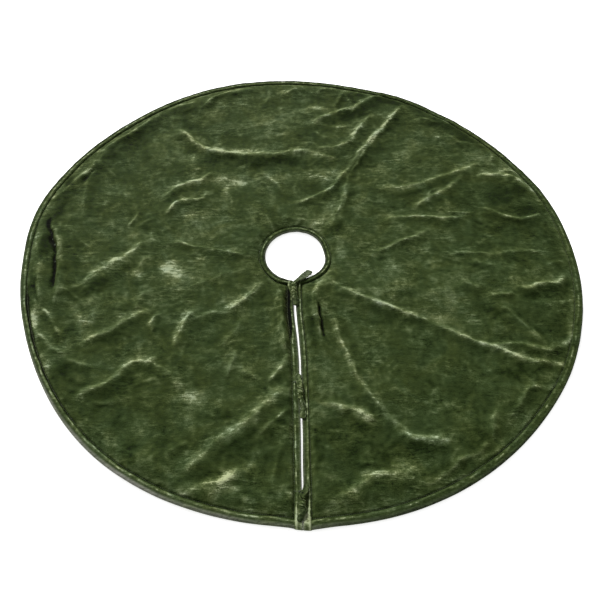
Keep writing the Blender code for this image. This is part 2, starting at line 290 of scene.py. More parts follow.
# Patches of pile that lies one way, by how it looks, mixed with patches of painted light: an amount below 0
# is dark (dark pile, and painted shade below folds), and one above 0 is pale (crushed pile, and painted
# highlights on fold crests).
# A patch is its middle, half length and half width in millimetres, and in degrees its slant, if any.
NAPS_AND_PAINTED_LIGHT = {
    -2.0: ((-34, -165, 13, 70),),
    -1.8: ((150, 532, 45, 20, 10), (402, -160, 24, 22), (-322, -462, 18, 30)),
    -1.6: ((555, 125, 35, 22),),
    -1.5: (
        (430, -320, 45, 18), (325, -460, 42, 26, 35), (120, -482, 62, 28), (33, -150, 10, 70),
        (-478, -200, 22, 22),
    ),
    -1.4: ((335, 480, 60, 20, -40), (30, -225, 9, 25), (-514, -52, 10, 55, -6)),
    -1.3: (
        (-552, 150, 100, 16, 82), (255, 512, 35, 16, -20), (-268, -262, 34, 16, -25), (412, -390, 20, 16),
    ),
    -1.2: (
        (-60, 500, 28, 26), (500, 165, 30, 20), (505, 65, 48, 34), (545, -178, 20, 28, 20),
        (540, -222, 20, 14), (125, 502, 30, 12, 10), (-540, 230, 16, 28), (-560, 25, 16, 36, -8),
    ),
    -1.1: (
        (385, 412, 50, 14, -10), (455, 370, 60, 16, -50), (430, 75, 40, 36), (262, -432, 28, 12),
        (-165, -395, 36, 12, 10), (-190, -512, 50, 9, 15), (-388, 152, 16, 22), (-520, -40, 12, 30),
        (-572, -100, 10, 40, 10), (320, 470, 22, 24), (28, 384, 22, 9), (105, 168, 9, 32, -15),
        (262, -518, 20, 12), (85, -542, 44, 18, 10), (-340, -400, 22, 28),
    ),
    -1.0: (
        (-240, 492, 45, 16, 18), (170, 475, 85, 18, 25), (490, 180, 75, 36, -10), (460, -305, 65, 16),
        (210, -463, 65, 16, -6), (-405, 355, 110, 20, 46), (-572, 0, 110, 12, 88), (572, 50, 14, 45),
        (425, -225, 35, 12, -10), (-455, 300, 14, 36, -15), (-552, 110, 14, 40), (-556, 45, 16, 22),
        (440, -98, 24, 10), (480, -195, 52, 9, -45), (-432, -332, 18, 16), (430, -240, 26, 16),
        (252, 514, 40, 12, -10), (-562, -80, 12, 22), (-538, 238, 12, 20), (584, -82, 8, 20),
    ),
    -0.9: (
        (-100, 300, 130, 24), (-500, 240, 25, 14, 55), (520, -115, 65, 18, 10), (540, -262, 35, 13, 12),
        (-460, -305, 34, 38), (-430, -80, 65, 18, 35), (-325, 490, 34, 18, 20), (-210, 400, 60, 14, -15),
        (335, 330, 50, 14, 5), (50, -440, 30, 30, 60), (182, 455, 20, 14), (450, 20, 60, 12),
        (505, 122, 25, 14), (525, -256, 18, 12), (78, -368, 16, 10), (-168, -522, 22, 12, 30),
        (400, 345, 22, 10), (180, -505, 34, 12), (445, 350, 38, 18, -45), (520, -32, 30, 16),
        (545, -128, 20, 14), (572, 90, 10, 24), (150, 462, 50, 11, 30), (375, 412, 30, 12, -15),
        (165, -394, 34, 11, -20), (-448, -298, 18, 15), (-146, -503, 20, 11, 40),
    ),
    -0.8: (
        (-420, 385, 130, 32, 44), (-540, 190, 35, 30, 50), (255, 515, 45, 14, -15), (400, 400, 75, 22, -42),
        (85, 75, 35, 22, 45), (190, 465, 20, 12), (375, -30, 55, 14, -30), (170, -300, 40, 22),
        (240, 145, 35, 12), (-365, -132, 16, 12, 30), (470, -18, 35, 14), (-175, -185, 22, 16),
        (-100, -490, 22, 14), (-410, 335, 26, 18), (70, -368, 26, 12, -20), (30, 555, 22, 20),
        (-50, -150, 16, 32), (108, 160, 10, 26, 15), (255, -514, 34, 12, 10), (-268, -152, 24, 9, -15),
        (122, -448, 24, 14, -30), (-295, 168, 16, 12), (-252, -160, 12, 14), (-160, -535, 22, 10, 20),
        (490, 150, 34, 12), (28, -480, 9, 34),
    ),
    -0.7: (
        (-140, 560, 70, 13, 15), (530, 118, 55, 14), (390, 155, 70, 20, 10), (-245, -440, 30, 30),
        (-405, -385, 30, 20), (180, 290, 18, 22), (330, -295, 30, 25), (-160, -402, 30, 14, 20),
        (-70, -545, 28, 14), (-248, -490, 30, 10), (365, 5, 34, 18), (150, 505, 40, 14, 10),
        (425, -172, 34, 14, -10), (-250, 345, 14, 24, -20), (95, -532, 28, 9, 15), (-500, -165, 10, 18),
        (-85, -362, 18, 24), (40, 465, 26, 12), (545, 120, 20, 12), (250, -15, 14, 14), (215, 135, 20, 10),
        (520, -240, 22, 20),
    ),
    -0.6: (
        (50, 285, 70, 20, -8), (205, 345, 120, 20, 57), (50, 410, 35, 14, -10), (55, 215, 55, 18, -30),
        (345, -430, 20, 50), (-340, -325, 60, 28, 30), (480, -30, 55, 10), (270, -335, 45, 45),
        (-75, -338, 28, 12, 40), (-460, -295, 30, 20), (325, 268, 24, 12), (255, 385, 22, 20),
        (-475, 280, 12, 26, -20), (-125, -465, 40, 18, 35), (-160, 125, 22, 14), (-338, -338, 20, 20),
        (-250, -298, 12, 26, -30), (168, 440, 20, 10, 60), (270, -100, 20, 16),
    ),
    -0.5: (
        (-265, 450, 45, 14, -60), (-285, 190, 50, 14, 45), (-220, 160, 60, 12), (-335, 10, 35, 20, 30),
        (-210, 280, 40, 20, 30), (175, 405, 50, 10, 60), (350, 213, 65, 10, 25), (125, 160, 55, 18, 70),
        (490, -180, 55, 26, -30), (140, -425, 40, 18, -30), (-270, -410, 16, 55), (-270, -205, 28, 30),
        (340, -370, 50, 50), (-465, 150, 25, 25), (-135, 160, 30, 12), (-545, 85, 12, 30),
        (-230, -470, 60, 24, 30),
    ),
    -0.4: (
        (-120, 375, 80, 14), (560, 50, 30, 50), (460, -370, 55, 20, 45), (100, -125, 55, 14, -25),
        (-60, -480, 30, 45), (370, 265, 12, 22), (75, -432, 50, 24),
    ),
    -0.35: ((240, -220, 100, 50, -20),),
    -0.3: ((-110, -455, 75, 24, 25), (32, -440, 12, 60), (-85, -472, 45, 42)),
    0.2: ((-440, 80, 80, 50), (-430, -34, 60, 14, 36)),
    0.25: ((220, 80, 60, 22, 20), (-250, -80, 50, 30, 20)),
    0.3: (
        (-310, 360, 50, 50), (350, 380, 55, 30), (260, -447, 40, 10, 4), (60, -290, 45, 30),
        (-290, -440, 12, 40), (-420, 215, 35, 30, -30), (15, 93, 40, 7),
    ),
    0.35: ((-70, 450, 110, 50), (-180, 120, 100, 35), (225, 280, 35, 45, -20), (210, -60, 50, 36)),
    0.4: (
        (60, 485, 55, 20), (250, 110, 70, 10), (112, -388, 36, 10, -25), (20, 240, 50, 10),
        (215, 392, 80, 14, 57),
    ),
    0.5: (
        (245, 465, 55, 14, 57), (330, -165, 35, 22, -20), (-150, -172, 70, 10, 5), (-475, -130, 22, 28),
        (-432, -122, 16, 22), (-310, -260, 35, 10, 10), (-190, -475, 35, 11, 50), (0, 443, 70, 12, -5),
        (-170, 88, 40, 12), (-370, 75, 18, 14), (-205, -120, 16, 30), (85, -245, 8, 22), (340, -75, 40, 30),
        (-290, 310, 30, 30), (-500, 65, 30, 22), (-165, 336, 32, 12, -10),
    ),
    0.6: (
        (60, 250, 45, 14), (165, 415, 65, 18, 55), (-190, 465, 18, 42), (-400, -10, 40, 8, 38),
        (-215, -50, 32, 12, 10), (-70, -285, 60, 16), (-300, -345, 40, 14), (205, -30, 12, 40),
        (345, 105, 22, 12), (135, 150, 14, 20), (-130, -298, 26, 16), (-20, 240, 60, 16),
        (85, 240, 55, 12, 10), (-260, 45, 25, 16), (160, -160, 36, 14), (252, -178, 18, 12),
        (54, -115, 9, 36), (135, 125, 30, 16, 20), (-55, 185, 13, 34), (-60, 386, 40, 10, 12),
        (-375, -54, 38, 11, 22), (338, 176, 12, 18), (172, -60, 11, 22), (-30, 425, 60, 9, -12),
    ),
    0.7: (
        (75, 120, 50, 20, 55), (-200, -340, 45, 12, -12), (-70, 385, 55, 9, 5), (255, 455, 35, 10, 55),
        (290, 42, 25, 22), (100, -128, 50, 9, -15), (-415, -268, 14, 14), (270, 190, 40, 9, 5),
        (-240, 92, 22, 20), (320, -138, 45, 26, 10), (178, 412, 14, 12, 30), (-335, -4, 12, 24, -30),
        (-105, 318, 26, 8, 4), (214, -58, 13, 22), (-465, -108, 12, 18), (-195, -355, 14, 14),
        (-130, -350, 14, 14), (135, -415, 34, 9, -15),
    ),
    0.8: (
        (-135, -125, 45, 18, 38), (-210, -395, 10, 36), (-140, -515, 55, 16, 25), (-262, 385, 9, 42, 30),
        (176, 415, 16, 12, 30), (95, 262, 50, 13, 5), (-245, 165, 55, 10, 8), (-230, 60, 48, 16),
        (-355, 0, 36, 17, 40), (128, -240, 9, 30, 20), (40, 97, 40, 10), (72, -490, 14, 20),
        (125, -414, 24, 8, -35), (-350, -45, 26, 16), (-175, 160, 45, 20, 10), (-122, 235, 20, 25),
        (-120, -440, 75, 9, 35), (-320, 0, 12, 14), (110, 328, 32, 10, 8), (120, 30, 18, 14),
        (-84, -56, 10, 24, -35), (-198, 226, 30, 12), (-290, 138, 24, 9, 20), (-482, -260, 18, 12),
        (-325, -232, 24, 7, -80), (-243, -182, 40, 8, 78), (-303, -180, 9, 14), (-170, 325, 34, 7, -6),
        (530, -97, 22, 8, 8), (378, 452, 22, 12, -35), (-98, -446, 32, 8, 32), (-285, 372, 16, 14),
        (-425, 98, 10, 18), (-370, 62, 16, 10, 20), (-320, 205, 22, 12, 40), (-470, -30, 8, 18),
        (30, 318, 30, 8), (55, -155, 8, 24), (250, -463, 28, 8),
    ),
    0.9: (
        (285, 325, 30, 9, 8), (-292, 455, 12, 32), (482, 248, 50, 14), (-160, 200, 16, 36, -15),
        (-470, -140, 30, 12, -60), (400, -255, 75, 10, -20), (65, -580, 30, 12), (-265, -62, 48, 20, -5),
        (-420, 402, 38, 8, 45), (-505, 262, 12, 14), (-552, -175, 12, 28), (-500, 264, 10, 12),
        (-228, 378, 18, 10, -25), (-546, -205, 11, 24, 15), (-130, -549, 26, 10, 20), (50, 78, 18, 7, -30),
        (65, 498, 16, 12, -40), (540, 205, 12, 14), (480, 270, 12, 14),
    ),
    1.0: (
        (-400, 193, 9, 8), (45, 327, 35, 12, -22), (58, 492, 30, 12, -20), (340, 190, 14, 28, 30),
        (268, 196, 45, 9, 8), (-215, 230, 62, 12, 15), (-360, -160, 36, 13, 30), (-205, -355, 30, 12, -10),
        (68, -105, 14, 22), (325, -120, 12, 35), (38, -400, 12, 26), (-450, -168, 42, 12, 5),
        (468, 214, 26, 16), (198, 352, 13, 20, -30), (112, 100, 12, 30, 20), (60, 308, 28, 9, 8),
        (-240, 318, 35, 16, 10),
    ),
    1.1: (
        (212, 388, 62, 8, 58), (462, 292, 35, 16, -10), (-565, -160, 12, 28, -20), (-112, -157, 14, 14),
        (180, -145, 26, 10, -25),
    ),
    1.2: ((-512, -268, 12, 25, 30), (100, 10, 13, 25), (-562, -172, 12, 28, -20)),
    1.3: ((298, -178, 36, 13, -15), (115, -402, 22, 11, -35), (-556, -185, 14, 32, 12)),
    1.4: ((-276, -40, 22, 14, 20), (-150, -540, 32, 15, 40)),
    1.6: ((-256, -50, 12, 11), (-176, 245, 14, 11, 40), (-150, 337, 95, 13, -4)),
    1.7: ((-145, 233, 14, 9, -20), (-124, 226, 9, 8, 10)),
    2.6: ((-283, -28, 20, 13, 20),),
}

MAP_HALF = 0.66
MAP_STEP = 0.0020
# Nothing on the map has a ruled edge: it is all bent by this much, in waves of this size.
WARP, WARP_SIZE = 0.0035, 0.045
# A fold changes the cloth within this many times its half width.
FOLD_REACH = 7
# Where folds meet, the higher one wins: at 1 they would be added up.
FOLDS_MEET = 2.2
# The light falls across the folds from this direction, so their lit sides are the steep ones.
LIT_WAY = np.array((-0.45, 0.89))


def smooth_line(points, step):
    """A smooth curve through the points, with a point about every step."""
    points = [np.array(p, float) for p in points]
    padded = [2 * points[0] - points[1], *points, 2 * points[-1] - points[-2]]
    line = []
    for p0, p1, p2, p3 in zip(padded, padded[1:], padded[2:], padded[3:]):
        count = max(2, int(np.linalg.norm(p2 - p1) / step))
        for t in np.arange(count) / count:
            bend = (p2 - p0) * t + (2 * p0 - 5 * p1 + 4 * p2 - p3) * t * t
            bend += (3 * p1 - p0 - 3 * p2 + p3) * t**3
            line.append(p1 + 0.5 * bend)
    line.append(points[-1])
    return np.array(line)


class LieAndLight:
    """How high the cloth stands off the floor and how its pile lies, with the painted highlights and shade of
    its folds and creases, on a fine map that all pieces read.
    """

    def __init__(self):
        count = int(round(2 * MAP_HALF / MAP_STEP)) + 1
        self.ticks = np.linspace(-MAP_HALF, MAP_HALF, count)
        self.x, self.y = np.meshgrid(self.ticks, self.ticks, indexing="ij")
        self.warped_x = self.x + WARP * layers(self.x, self.y, WARP_SIZE, 11)
        self.warped_y = self.y + WARP * layers(self.x, self.y, WARP_SIZE, 17)
        folds, shade = self.all_folds()
        pinched = self.pinched()
        crumples, crest_highlights = self.crumples()
        rough = (folds + crumples + self.swell() + self.pleats()) * pinched
        self.height = np.maximum(rough, 0.0) * self.edge_share()
        naps_and_light, (pile, scuffs) = self.naps_and_light(), self.crushed_pile()
        # The tone is the lie of the pile with the painted highlights and shade of the folds and creases. The
        # darkest pile stops at -1.2, but a pinch is painted nearly black, as a shadow.
        self.tone = np.maximum(1.1 * shade + naps_and_light + pile + crest_highlights, -1.2) - 3.2 * (1 - pinched)
        rim = ease(0.50, 0.59, np.hypot(self.x, self.y))
        # The scuffing grows with the painted highlights and pale patches, and fades in painted shade and dark
        # patches.
        self.scuff_and_shade = np.clip(0.27 + scuffs + 0.5 * naps_and_light + 0.5 * shade + 0.4 * rim, 0.0, 1.6)

    def near_route(self, fold, reach):
        """The part of the map within reach of a fold's route, and three values for each of its points: the
        distance from the route, below 0 on its gentle side, the distance along it, and its strength, which
        fades to both ends."""
        line = smooth_line(fold.route, 0.008)
        chord = line[-1] - line[0]
        hand = 1.0 if np.array((-chord[1], chord[0])) @ LIT_WAY > 0 else -1.0
        i0, j0 = np.searchsorted(self.ticks, line.min(axis=0) - reach)
        i1, j1 = np.searchsorted(self.ticks, line.max(axis=0) + reach)
        window = np.s_[i0:i1, j0:j1]
        x, y = self.warped_x[window], self.warped_y[window]
        far, side, run = np.full(x.shape, 1e3), np.zeros_like(x), np.zeros_like(x)
        start = 0.0
        for a, b in zip(line, line[1:]):
            (dx, dy), length = b - a, np.linalg.norm(b - a)
            px, py = x - a[0], y - a[1]
            t = np.clip((px * dx + py * dy) / length**2, 0.0, 1.0)
            qx, qy = px - t * dx, py - t * dy
            away = np.hypot(qx, qy)
            nearer = away < far
            far = np.where(nearer, away, far)
            side = np.where(nearer, hand * np.sign(dx * qy - dy * qx), side)
            run = np.where(nearer, start + t * length, run)
            start += length
        ends = ease(0.0, 0.25, run / start) * ease(0.0, 0.25, 1 - run / start)
        return window, far * side, run, ends

    def all_folds(self):
        """The height of the folds, and the light painted on them: how pale their crests or how dark their
        feet look, as painted highlight and painted shade.
        """
        total, shade = np.zeros_like(self.x), np.zeros_like(self.x)
        wave = 1 + 0.35 * noise(self.x, self.y, 0.035, 23)
        rough = 0.6 * layers(self.x, self.y, 0.014, 29, 2)
        for number, fold in enumerate(FOLDS):
            window, away, run, ends = self.near_route(fold, FOLD_REACH * fold.width)
            signed = away / fold.width
            steep = np.exp(-(np.maximum(signed, 0.0) ** 1.6))
            gentle = np.exp(-((np.maximum(-signed, 0.0) / 2) ** 1.3))
            total[window] += (fold.height * steep * gentle * ends * wave[window]) ** FOLDS_MEET
            strength = ends * min(1.2, fold.height / 0.006) * wave[window]
            shade[window] += strength * self.fold_shade(fold, away, run, rough[window], number)
        return total ** (1 / FOLDS_MEET), np.clip(shade, -0.8, 1.35)

    def fold_shade(self, fold, away, run, rough, number):
        """A fold's crest is painted with a highlight: a broad pale band on its lit side, a thin line along
        it, and a second line beside that on a tall fold. Its foot is painted with shade."""
        signed = away / fold.width
        strands = noise(run, away * 4.0, 0.026, 401 + number)
        wander = 0.0012 * noise(run, 0 * run, 0.020, 601 + number)
        broad = 0.95 * bell(signed, 0.3, 1.0) * np.clip(1 + rough + 0.9 * strands, 0.1, 2.2)
        crest_highlights = 0.46 * bell(away, wander, 0.0024) * np.clip(1 + 0.8 * strands, 0.2, 1.6)
        second = 0.45 * bell(away, 0.0062 - wander, 0.0020) * ease(0.0045, 0.0070, fold.height)
        return broad + crest_highlights + second - 0.40 * bell(signed, -2.4, 1.6)

    def crumples(self):
        """Soft creases in patches, and rather more of them by the rim; their crests are painted with pale
        highlights.
        """
        patches = ease(-0.20, 0.60, layers(self.x, self.y, 0.15, 31, 2))
        rim = ease(0.48, 0.59, np.hypot(self.x, self.y))
        creases, crest_highlights = np.zeros_like(self.x), np.zeros_like(self.x)
        for size, seed, height in ((0.060, 41, 0.0022), (0.032, 47, 0.0014), (0.018, 53, 0.0008)):
            field = noise(self.warped_x * 0.8, self.warped_y * 1.2, size, seed)
            creases += height * (0.75 - np.sqrt(field**2 + 0.02))
            broken = ease(-0.2, 0.6, noise(self.x, self.y, 1.6 * size, seed + 3))
            crest_highlights += 260 * height * bell(field, 0.0, 0.10) * broken
        share = np.clip(0.45 + 0.8 * patches + 0.4 * rim, 0.0, 1.3)
        return creases * share, crest_highlights * share**2

    def swell(self):
        """Broad, low waves of a cloth that never lies quite flat."""
        return 0.0034 + 0.0030 * noise(self.x, self.y, 0.17, 61) + 0.0022 * noise(self.x, self.y, 0.085, 67)

    def pleats(self):
        """Thin folds that run out from the trunk hole."""
        radius, angle = np.hypot(self.x, self.y), np.arctan2(self.y, self.x)
        waves = noise(5.5 * np.cos(angle), 5.5 * np.sin(angle), 1.0, 73)
        return 0.0022 * waves * np.exp(-np.maximum(radius - HOLE_SEAM, 0.0) / 0.09)

    def pinched(self):
        """The share of its height that the cloth keeps: less where it is pinched down."""
        share = np.ones_like(self.x)
        for pinch in PINCHES:
            window, away, _, ends = self.near_route(pinch, 4 * pinch.width)
            share[window] *= 1 - 0.95 * pinch.height * np.sqrt(ends) * bell(away, 0.0, pinch.width)
        return share

    def edge_share(self):
        """The hems are stiff and lie close to the floor, so the cloth comes down to them."""
        radius = np.hypot(self.x, self.y)
        rim = 0.28 + 0.72 * ease(0.0, 0.028, RIM_SEAM - radius)
        hole = 0.25 + 0.75 * ease(0.0, 0.030, radius - HOLE_SEAM)
        beside = np.abs(self.x - slit_shift(self.y)) - SLIT_SEAM
        slit = np.where(self.y < 0, 0.10 + 0.90 * ease(0.0, 0.010, beside), 1.0)
        return rim * hole * slit

    def patch(self, x, y, length, width, slant=0.0):
        """1 in the middle of a slanting oval patch and 0 outside it."""
        turn = math.radians(slant)
        dx, dy = 1000 * self.warped_x - x, 1000 * self.warped_y - y
        u = dx * math.cos(turn) + dy * math.sin(turn)
        v = dy * math.cos(turn) - dx * math.sin(turn)
        return np.exp(-(((u / length) ** 2 + (v / width) ** 2) ** 1.6))

    def naps_and_light(self):
        """How pale the brushed pile looks, or below 0 how dark; among the patches are painted highlights on
        fold crests and painted shade below folds.
        """
        total = np.zeros_like(self.x)
        for amount, patches in NAPS_AND_PAINTED_LIGHT.items():
            total += amount * sum(self.patch(*patch) for patch in patches)
        ragged = 1 + 0.35 * layers(self.x, self.y, 0.022, 83, 2)
        return np.where(total < 0, DARK_NAPS_AND_SHADE, PALE_NAPS_AND_HIGHLIGHTS) * total * ragged

    def crushed_pile(self):
        """Ragged patches where the pile was pressed one way or another, and how scuffed each of them is."""

        def drag(seed):
            return 0.016 * noise(self.x, self.y, 0.075, seed) + 0.006 * noise(self.x, self.y, 0.022, seed + 4)

        x, y = self.x + drag(103), self.y + drag(109)
        patches = 0.20 * noise(x, y, 0.110, 127) + 0.42 * noise(x, y, 0.050, 137)
        patches += 0.42 * noise(x, y, 0.026, 139)
        mottle = 0.46 * noise(x, y, 0.014, 149) + 0.44 * noise(self.x, self.y, 0.0085, 151)
        across = noise(0.42 * x + 0.12 * y, 1.7 * y - 0.25 * x, 0.016, 157)
        mottle += 0.75 * across * ease(-0.5, 0.5, noise(x, y, 0.090, 159))
        scuffs = ease(-0.4, 0.7, noise(x, y, 0.055, 163) + 0.5 * patches)
        return patches + mottle * np.clip(1 + patches, 0.35, 1.7), scuffs

    def read(self, field, x, y):
        """The field at any points, between its map's corners."""
        u, v = (np.clip((a + MAP_HALF) / MAP_STEP, 0, len(self.ticks) - 1.001) for a in (x, y))
        i, j = u.astype(int), v.astype(int)
        s, t = u - i, v - j
        low = field[i, j] * (1 - s) + field[i + 1, j] * s
        high = field[i, j + 1] * (1 - s) + field[i + 1, j + 1] * s
        return low * (1 - t) + high * t

    def at(self, x, y):
        return self.read(self.height, x, y)


# The cut circle doesn't lie quite round: shares of the radius by harmonic, as cosine and sine.
OUT_OF_ROUND = (
    (0, 0.0024, 0.000),
    (1, 0.0055, -0.0036),
    (2, 0.002, -0.0165),
    (3, 0.005, 0.001),
    (4, 0.000, -0.001),
    (5, -0.001, 0.003),
    (6, 0.001, -0.003),
)

# Where a fold or the bottom knot pushes the rim out, or cloth lacks: direction, width and share.
RIM_BUMPS = (
    (14, 9, 0.007),
    (45, 8, -0.004),
    (59, 5, 0.012),
    (135, 10, -0.004),
    (165, 8, 0.008),
    (180, 5, -0.002),
    (271, 3, 0.007),
    (330, 7, 0.003),
)


def slit_shift(y):
    """How far the slit wanders sideways: it kinks to the left beside the trunk hole."""
    kink = -0.0065 * ease(0.045, 0.085, -y) * (1 - ease(0.14, 0.25, -y))
    return kink + 0.0015 * ease(0.23, 0.28, -y) * (1 - ease(0.54, 0.60, -y))


def laid_out(x, y):
    """Where a point of the flat cut lies, with the rim, the trunk hole and the slit a little out of true."""
    radius, angle = np.hypot(x, y), np.arctan2(y, x)
    grown = np.clip((radius - HOLE_SEAM) / (RADIUS - HOLE_SEAM), 0.0, 1.0) ** 2
    rim = sum(c * np.cos(n * angle) + s * np.sin(n * angle) for n, c, s in OUT_OF_ROUND)
    rim = rim + sum(share * bell(direction(x, y), place, width) for place, width, share in RIM_BUMPS)
    upper = np.maximum(np.sin(angle), 0.0) ** 3
    dent = bell(np.degrees(angle), 12.0, 22.0)
    hole = -0.022 * np.cos(angle) + 0.065 * upper - 0.055 * dent - 0.010
    scale = 1 + grown * rim + (1 - ease(0.0, 0.060, radius - HOLE_EDGE)) * hole
    shift = slit_shift(y) * bell(x, 0.0, 0.10)
    return x * scale + shift, y * scale


# ---------------------------------------------------------------- mesh helpers
def grid_faces(rows, columns, wrap=False):
    """Corner numbers of a grid's four-sided faces."""
    r = np.arange(rows - 1)[:, None] * columns
    c = np.arange(columns if wrap else columns - 1)[None, :]
    n = (c + 1) % columns
    corners = np.broadcast_arrays(r + c, r + n, r + columns + n, r + columns + c)
    return np.stack(corners, -1).reshape(-1, 4)


def link_mesh(name, points, faces, material, attributes):
    data = bpy.data.meshes.new(name)
    data.from_pydata(points.tolist(), [], faces)
    for key, values in attributes.items():
        values = np.asarray(values, np.float32)
        kind, part = ("FLOAT_VECTOR", "vector") if values.ndim == 2 else ("FLOAT", "value")
        attribute = data.attributes.new(key, kind, "POINT")
        attribute.data.foreach_set(part, values.ravel())
    data.shade_smooth()
    data.materials.append(material)
    obj = bpy.data.objects.new(name, data)
    bpy.context.collection.objects.link(obj)
    return obj


def grid_mesh(name, x, y, z, material, attributes, up=True):
    """One layer of cloth over a grid of points, facing up or down."""
    faces = grid_faces(*x.shape)
    ax, ay = x.ravel()[faces], y.ravel()[faces]
    turning = (ax[:, 1] - ax[:, 0]) * (ay[:, 2] - ay[:, 1]) - (ay[:, 1] - ay[:, 0]) * (ax[:, 2] - ax[:, 1])
    if (turning.mean() > 0) != up:
        faces = faces[:, ::-1]
    points = np.stack([x.ravel(), y.ravel(), z.ravel()], 1)
    return link_mesh(name, points, faces.tolist(), material, attributes)


def tube_faces(steps, corners):
    """Corner numbers of a closed tube: the faces of its skin, then its two ends."""
    faces = grid_faces(steps, corners, wrap=True).tolist()
    faces.append(list(range(corners))[::-1])
    faces.append(list(range((steps - 1) * corners, steps * corners)))
    return faces


def tube_mesh(name, rings, material, attributes):
    """A closed skin over rings of points: an array of steps, corners and coordinates."""
    faces = tube_faces(*rings.shape[:2])
    obj = link_mesh(name, rings.reshape(-1, 3), faces, material, attributes)
    face_outwards(obj.data)
    return obj


def face_outwards(data):
    shape = bmesh.new()
    shape.from_mesh(data)
    bmesh.ops.recalc_face_normals(shape, faces=shape.faces)
    shape.to_mesh(data)
    shape.free()


def flat_vectors(x, y):
    """Where each point was on the flat cloth, for the materials to follow."""
    return np.stack([x.ravel(), y.ravel(), np.zeros(x.size)], 1)


def bend_over_fold(obj):
    """Bakes the cloth's placement into its points."""
    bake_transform(obj)


# ---------------------------------------------------------------- materials
class Look:
    """A material under construction, with short names for the nodes it needs."""

    def __init__(self, name):
        self.material = bpy.data.materials.new(name)
        self.material.use_nodes = True
        self.tree = self.material.node_tree
        self.shader = self.tree.nodes["Principled BSDF"]

    def node(self, kind, **settings):
        node = self.tree.nodes.new(kind)
        for key, value in settings.items():
            setattr(node, key, value)
        return node

    def feed(self, socket, value):
        if isinstance(value, bpy.types.NodeSocket):
            self.tree.links.new(value, socket)
        elif isinstance(value, tuple) and len(value) == 3 and socket.type == "RGBA":
            socket.default_value = (*value, 1.0)
        else:
            socket.default_value = value

    def fill(self, node, **inputs):
        """Feeds a node's inputs, with _ for a space in their names."""
        for key, value in inputs.items():
            self.feed(node.inputs[key.replace("_", " ")], value)

    def surface(self, **inputs):
        self.fill(self.shader, **inputs)

    def attribute(self, name, output="Fac"):
        node = self.node("ShaderNodeAttribute", attribute_type="GEOMETRY", attribute_name=name)
        return node.outputs[output]

    def stretched(self, vector, scale, turn=0.0):
        node = self.node("ShaderNodeMapping")
        self.fill(node, Vector=vector, Scale=scale, Rotation=(0.0, 0.0, math.radians(turn)))
        return node.outputs["Vector"]

    def noise(self, vector, scale, detail=3.0, rough=0.55, distortion=0.0):
        node = self.node("ShaderNodeTexNoise")
        self.fill(node, Vector=vector, Scale=scale, Detail=detail, Roughness=rough, Distortion=distortion)
        return node.outputs["Fac"]

    def wave(self, vector, scale, axis, distortion=0.0):
        node = self.node("ShaderNodeTexWave", wave_type="BANDS", bands_direction=axis)
        self.fill(node, Vector=vector, Scale=scale, Distortion=distortion)
        return node.outputs["Fac"]

    def math(self, kind, *values):
        node = self.node("ShaderNodeMath", operation=kind)
        for socket, value in zip(node.inputs, values):
            self.feed(socket, value)
        return node.outputs["Value"]

    def total(self, start, *parts):
        """The start plus each value, taken from its middle of 0.5, times its amount."""
        result = self.math("ADD", start, -0.5 * sum(amount for _, amount in parts))
        for value, amount in parts:
            result = self.math("MULTIPLY_ADD", value, amount, result)
        return result

    def between(self, value, low, high, out_low=0.0, out_high=1.0):
        node = self.node("ShaderNodeMapRange", interpolation_type="SMOOTHSTEP")
        self.fill(node, Value=value, From_Min=low, From_Max=high, To_Min=out_low, To_Max=out_high)
        return node.outputs["Result"]

    def ramp(self, value, stops):
        node = self.node("ShaderNodeValToRGB")
        stones = node.color_ramp.elements
        while len(stones) < len(stops):
            stones.new(1.0)
        for stone, (place, colour) in zip(stones, stops):
            stone.position = place
            stone.color = (*colour, 1.0)
        self.feed(node.inputs["Fac"], value)
        return node.outputs["Color"]

    def mix(self, share, a, b, kind="MIX"):
        node = self.node("ShaderNodeMix", data_type="RGBA", blend_type=kind)
        self.feed(node.inputs["Factor"], share)
        self.feed(node.inputs[6], a)
        self.feed(node.inputs[7], b)
        return node.outputs[2]

    def bump(self, height, distance, strength=1.0, normal=None):
        node = self.node("ShaderNodeBump")
        self.fill(node, Strength=strength, Distance=distance, Height=height)
        if normal is not None:
            self.fill(node, Normal=normal)
        return node.outputs["Normal"]


# From near black for the painted shadow in pinches and grooves, through pile that leans into the shade and
# the usual green, to pale for pile that is crushed flat and for painted highlights.
VELVET_TONES = (
    (0.00, (0.0008, 0.0014, 0.0004)),
    (0.14, (0.0085, 0.0165, 0.0022)),
    (0.44, (0.0290, 0.0450, 0.0125)),
    (0.56, (0.0460, 0.0660, 0.0235)),
    (0.75, (0.0850, 0.1110, 0.0480)),
    (0.92, (0.1700, 0.2050, 0.1120)),
    (1.00, (0.2900, 0.3350, 0.2080)),
)
# The pale grey that the bare_and_sheen mask mixes in: the cloth's back, and on the rim's front left a painted
# sheen too.
BARE_AND_SHEEN_GREY = (0.250, 0.246, 0.222)
# Some patches are a little more olive and some a little bluer.
WARM_SHIFT = (1.07, 1.02, 0.88)
COOL_SHIFT = (0.96, 1.0, 1.03)


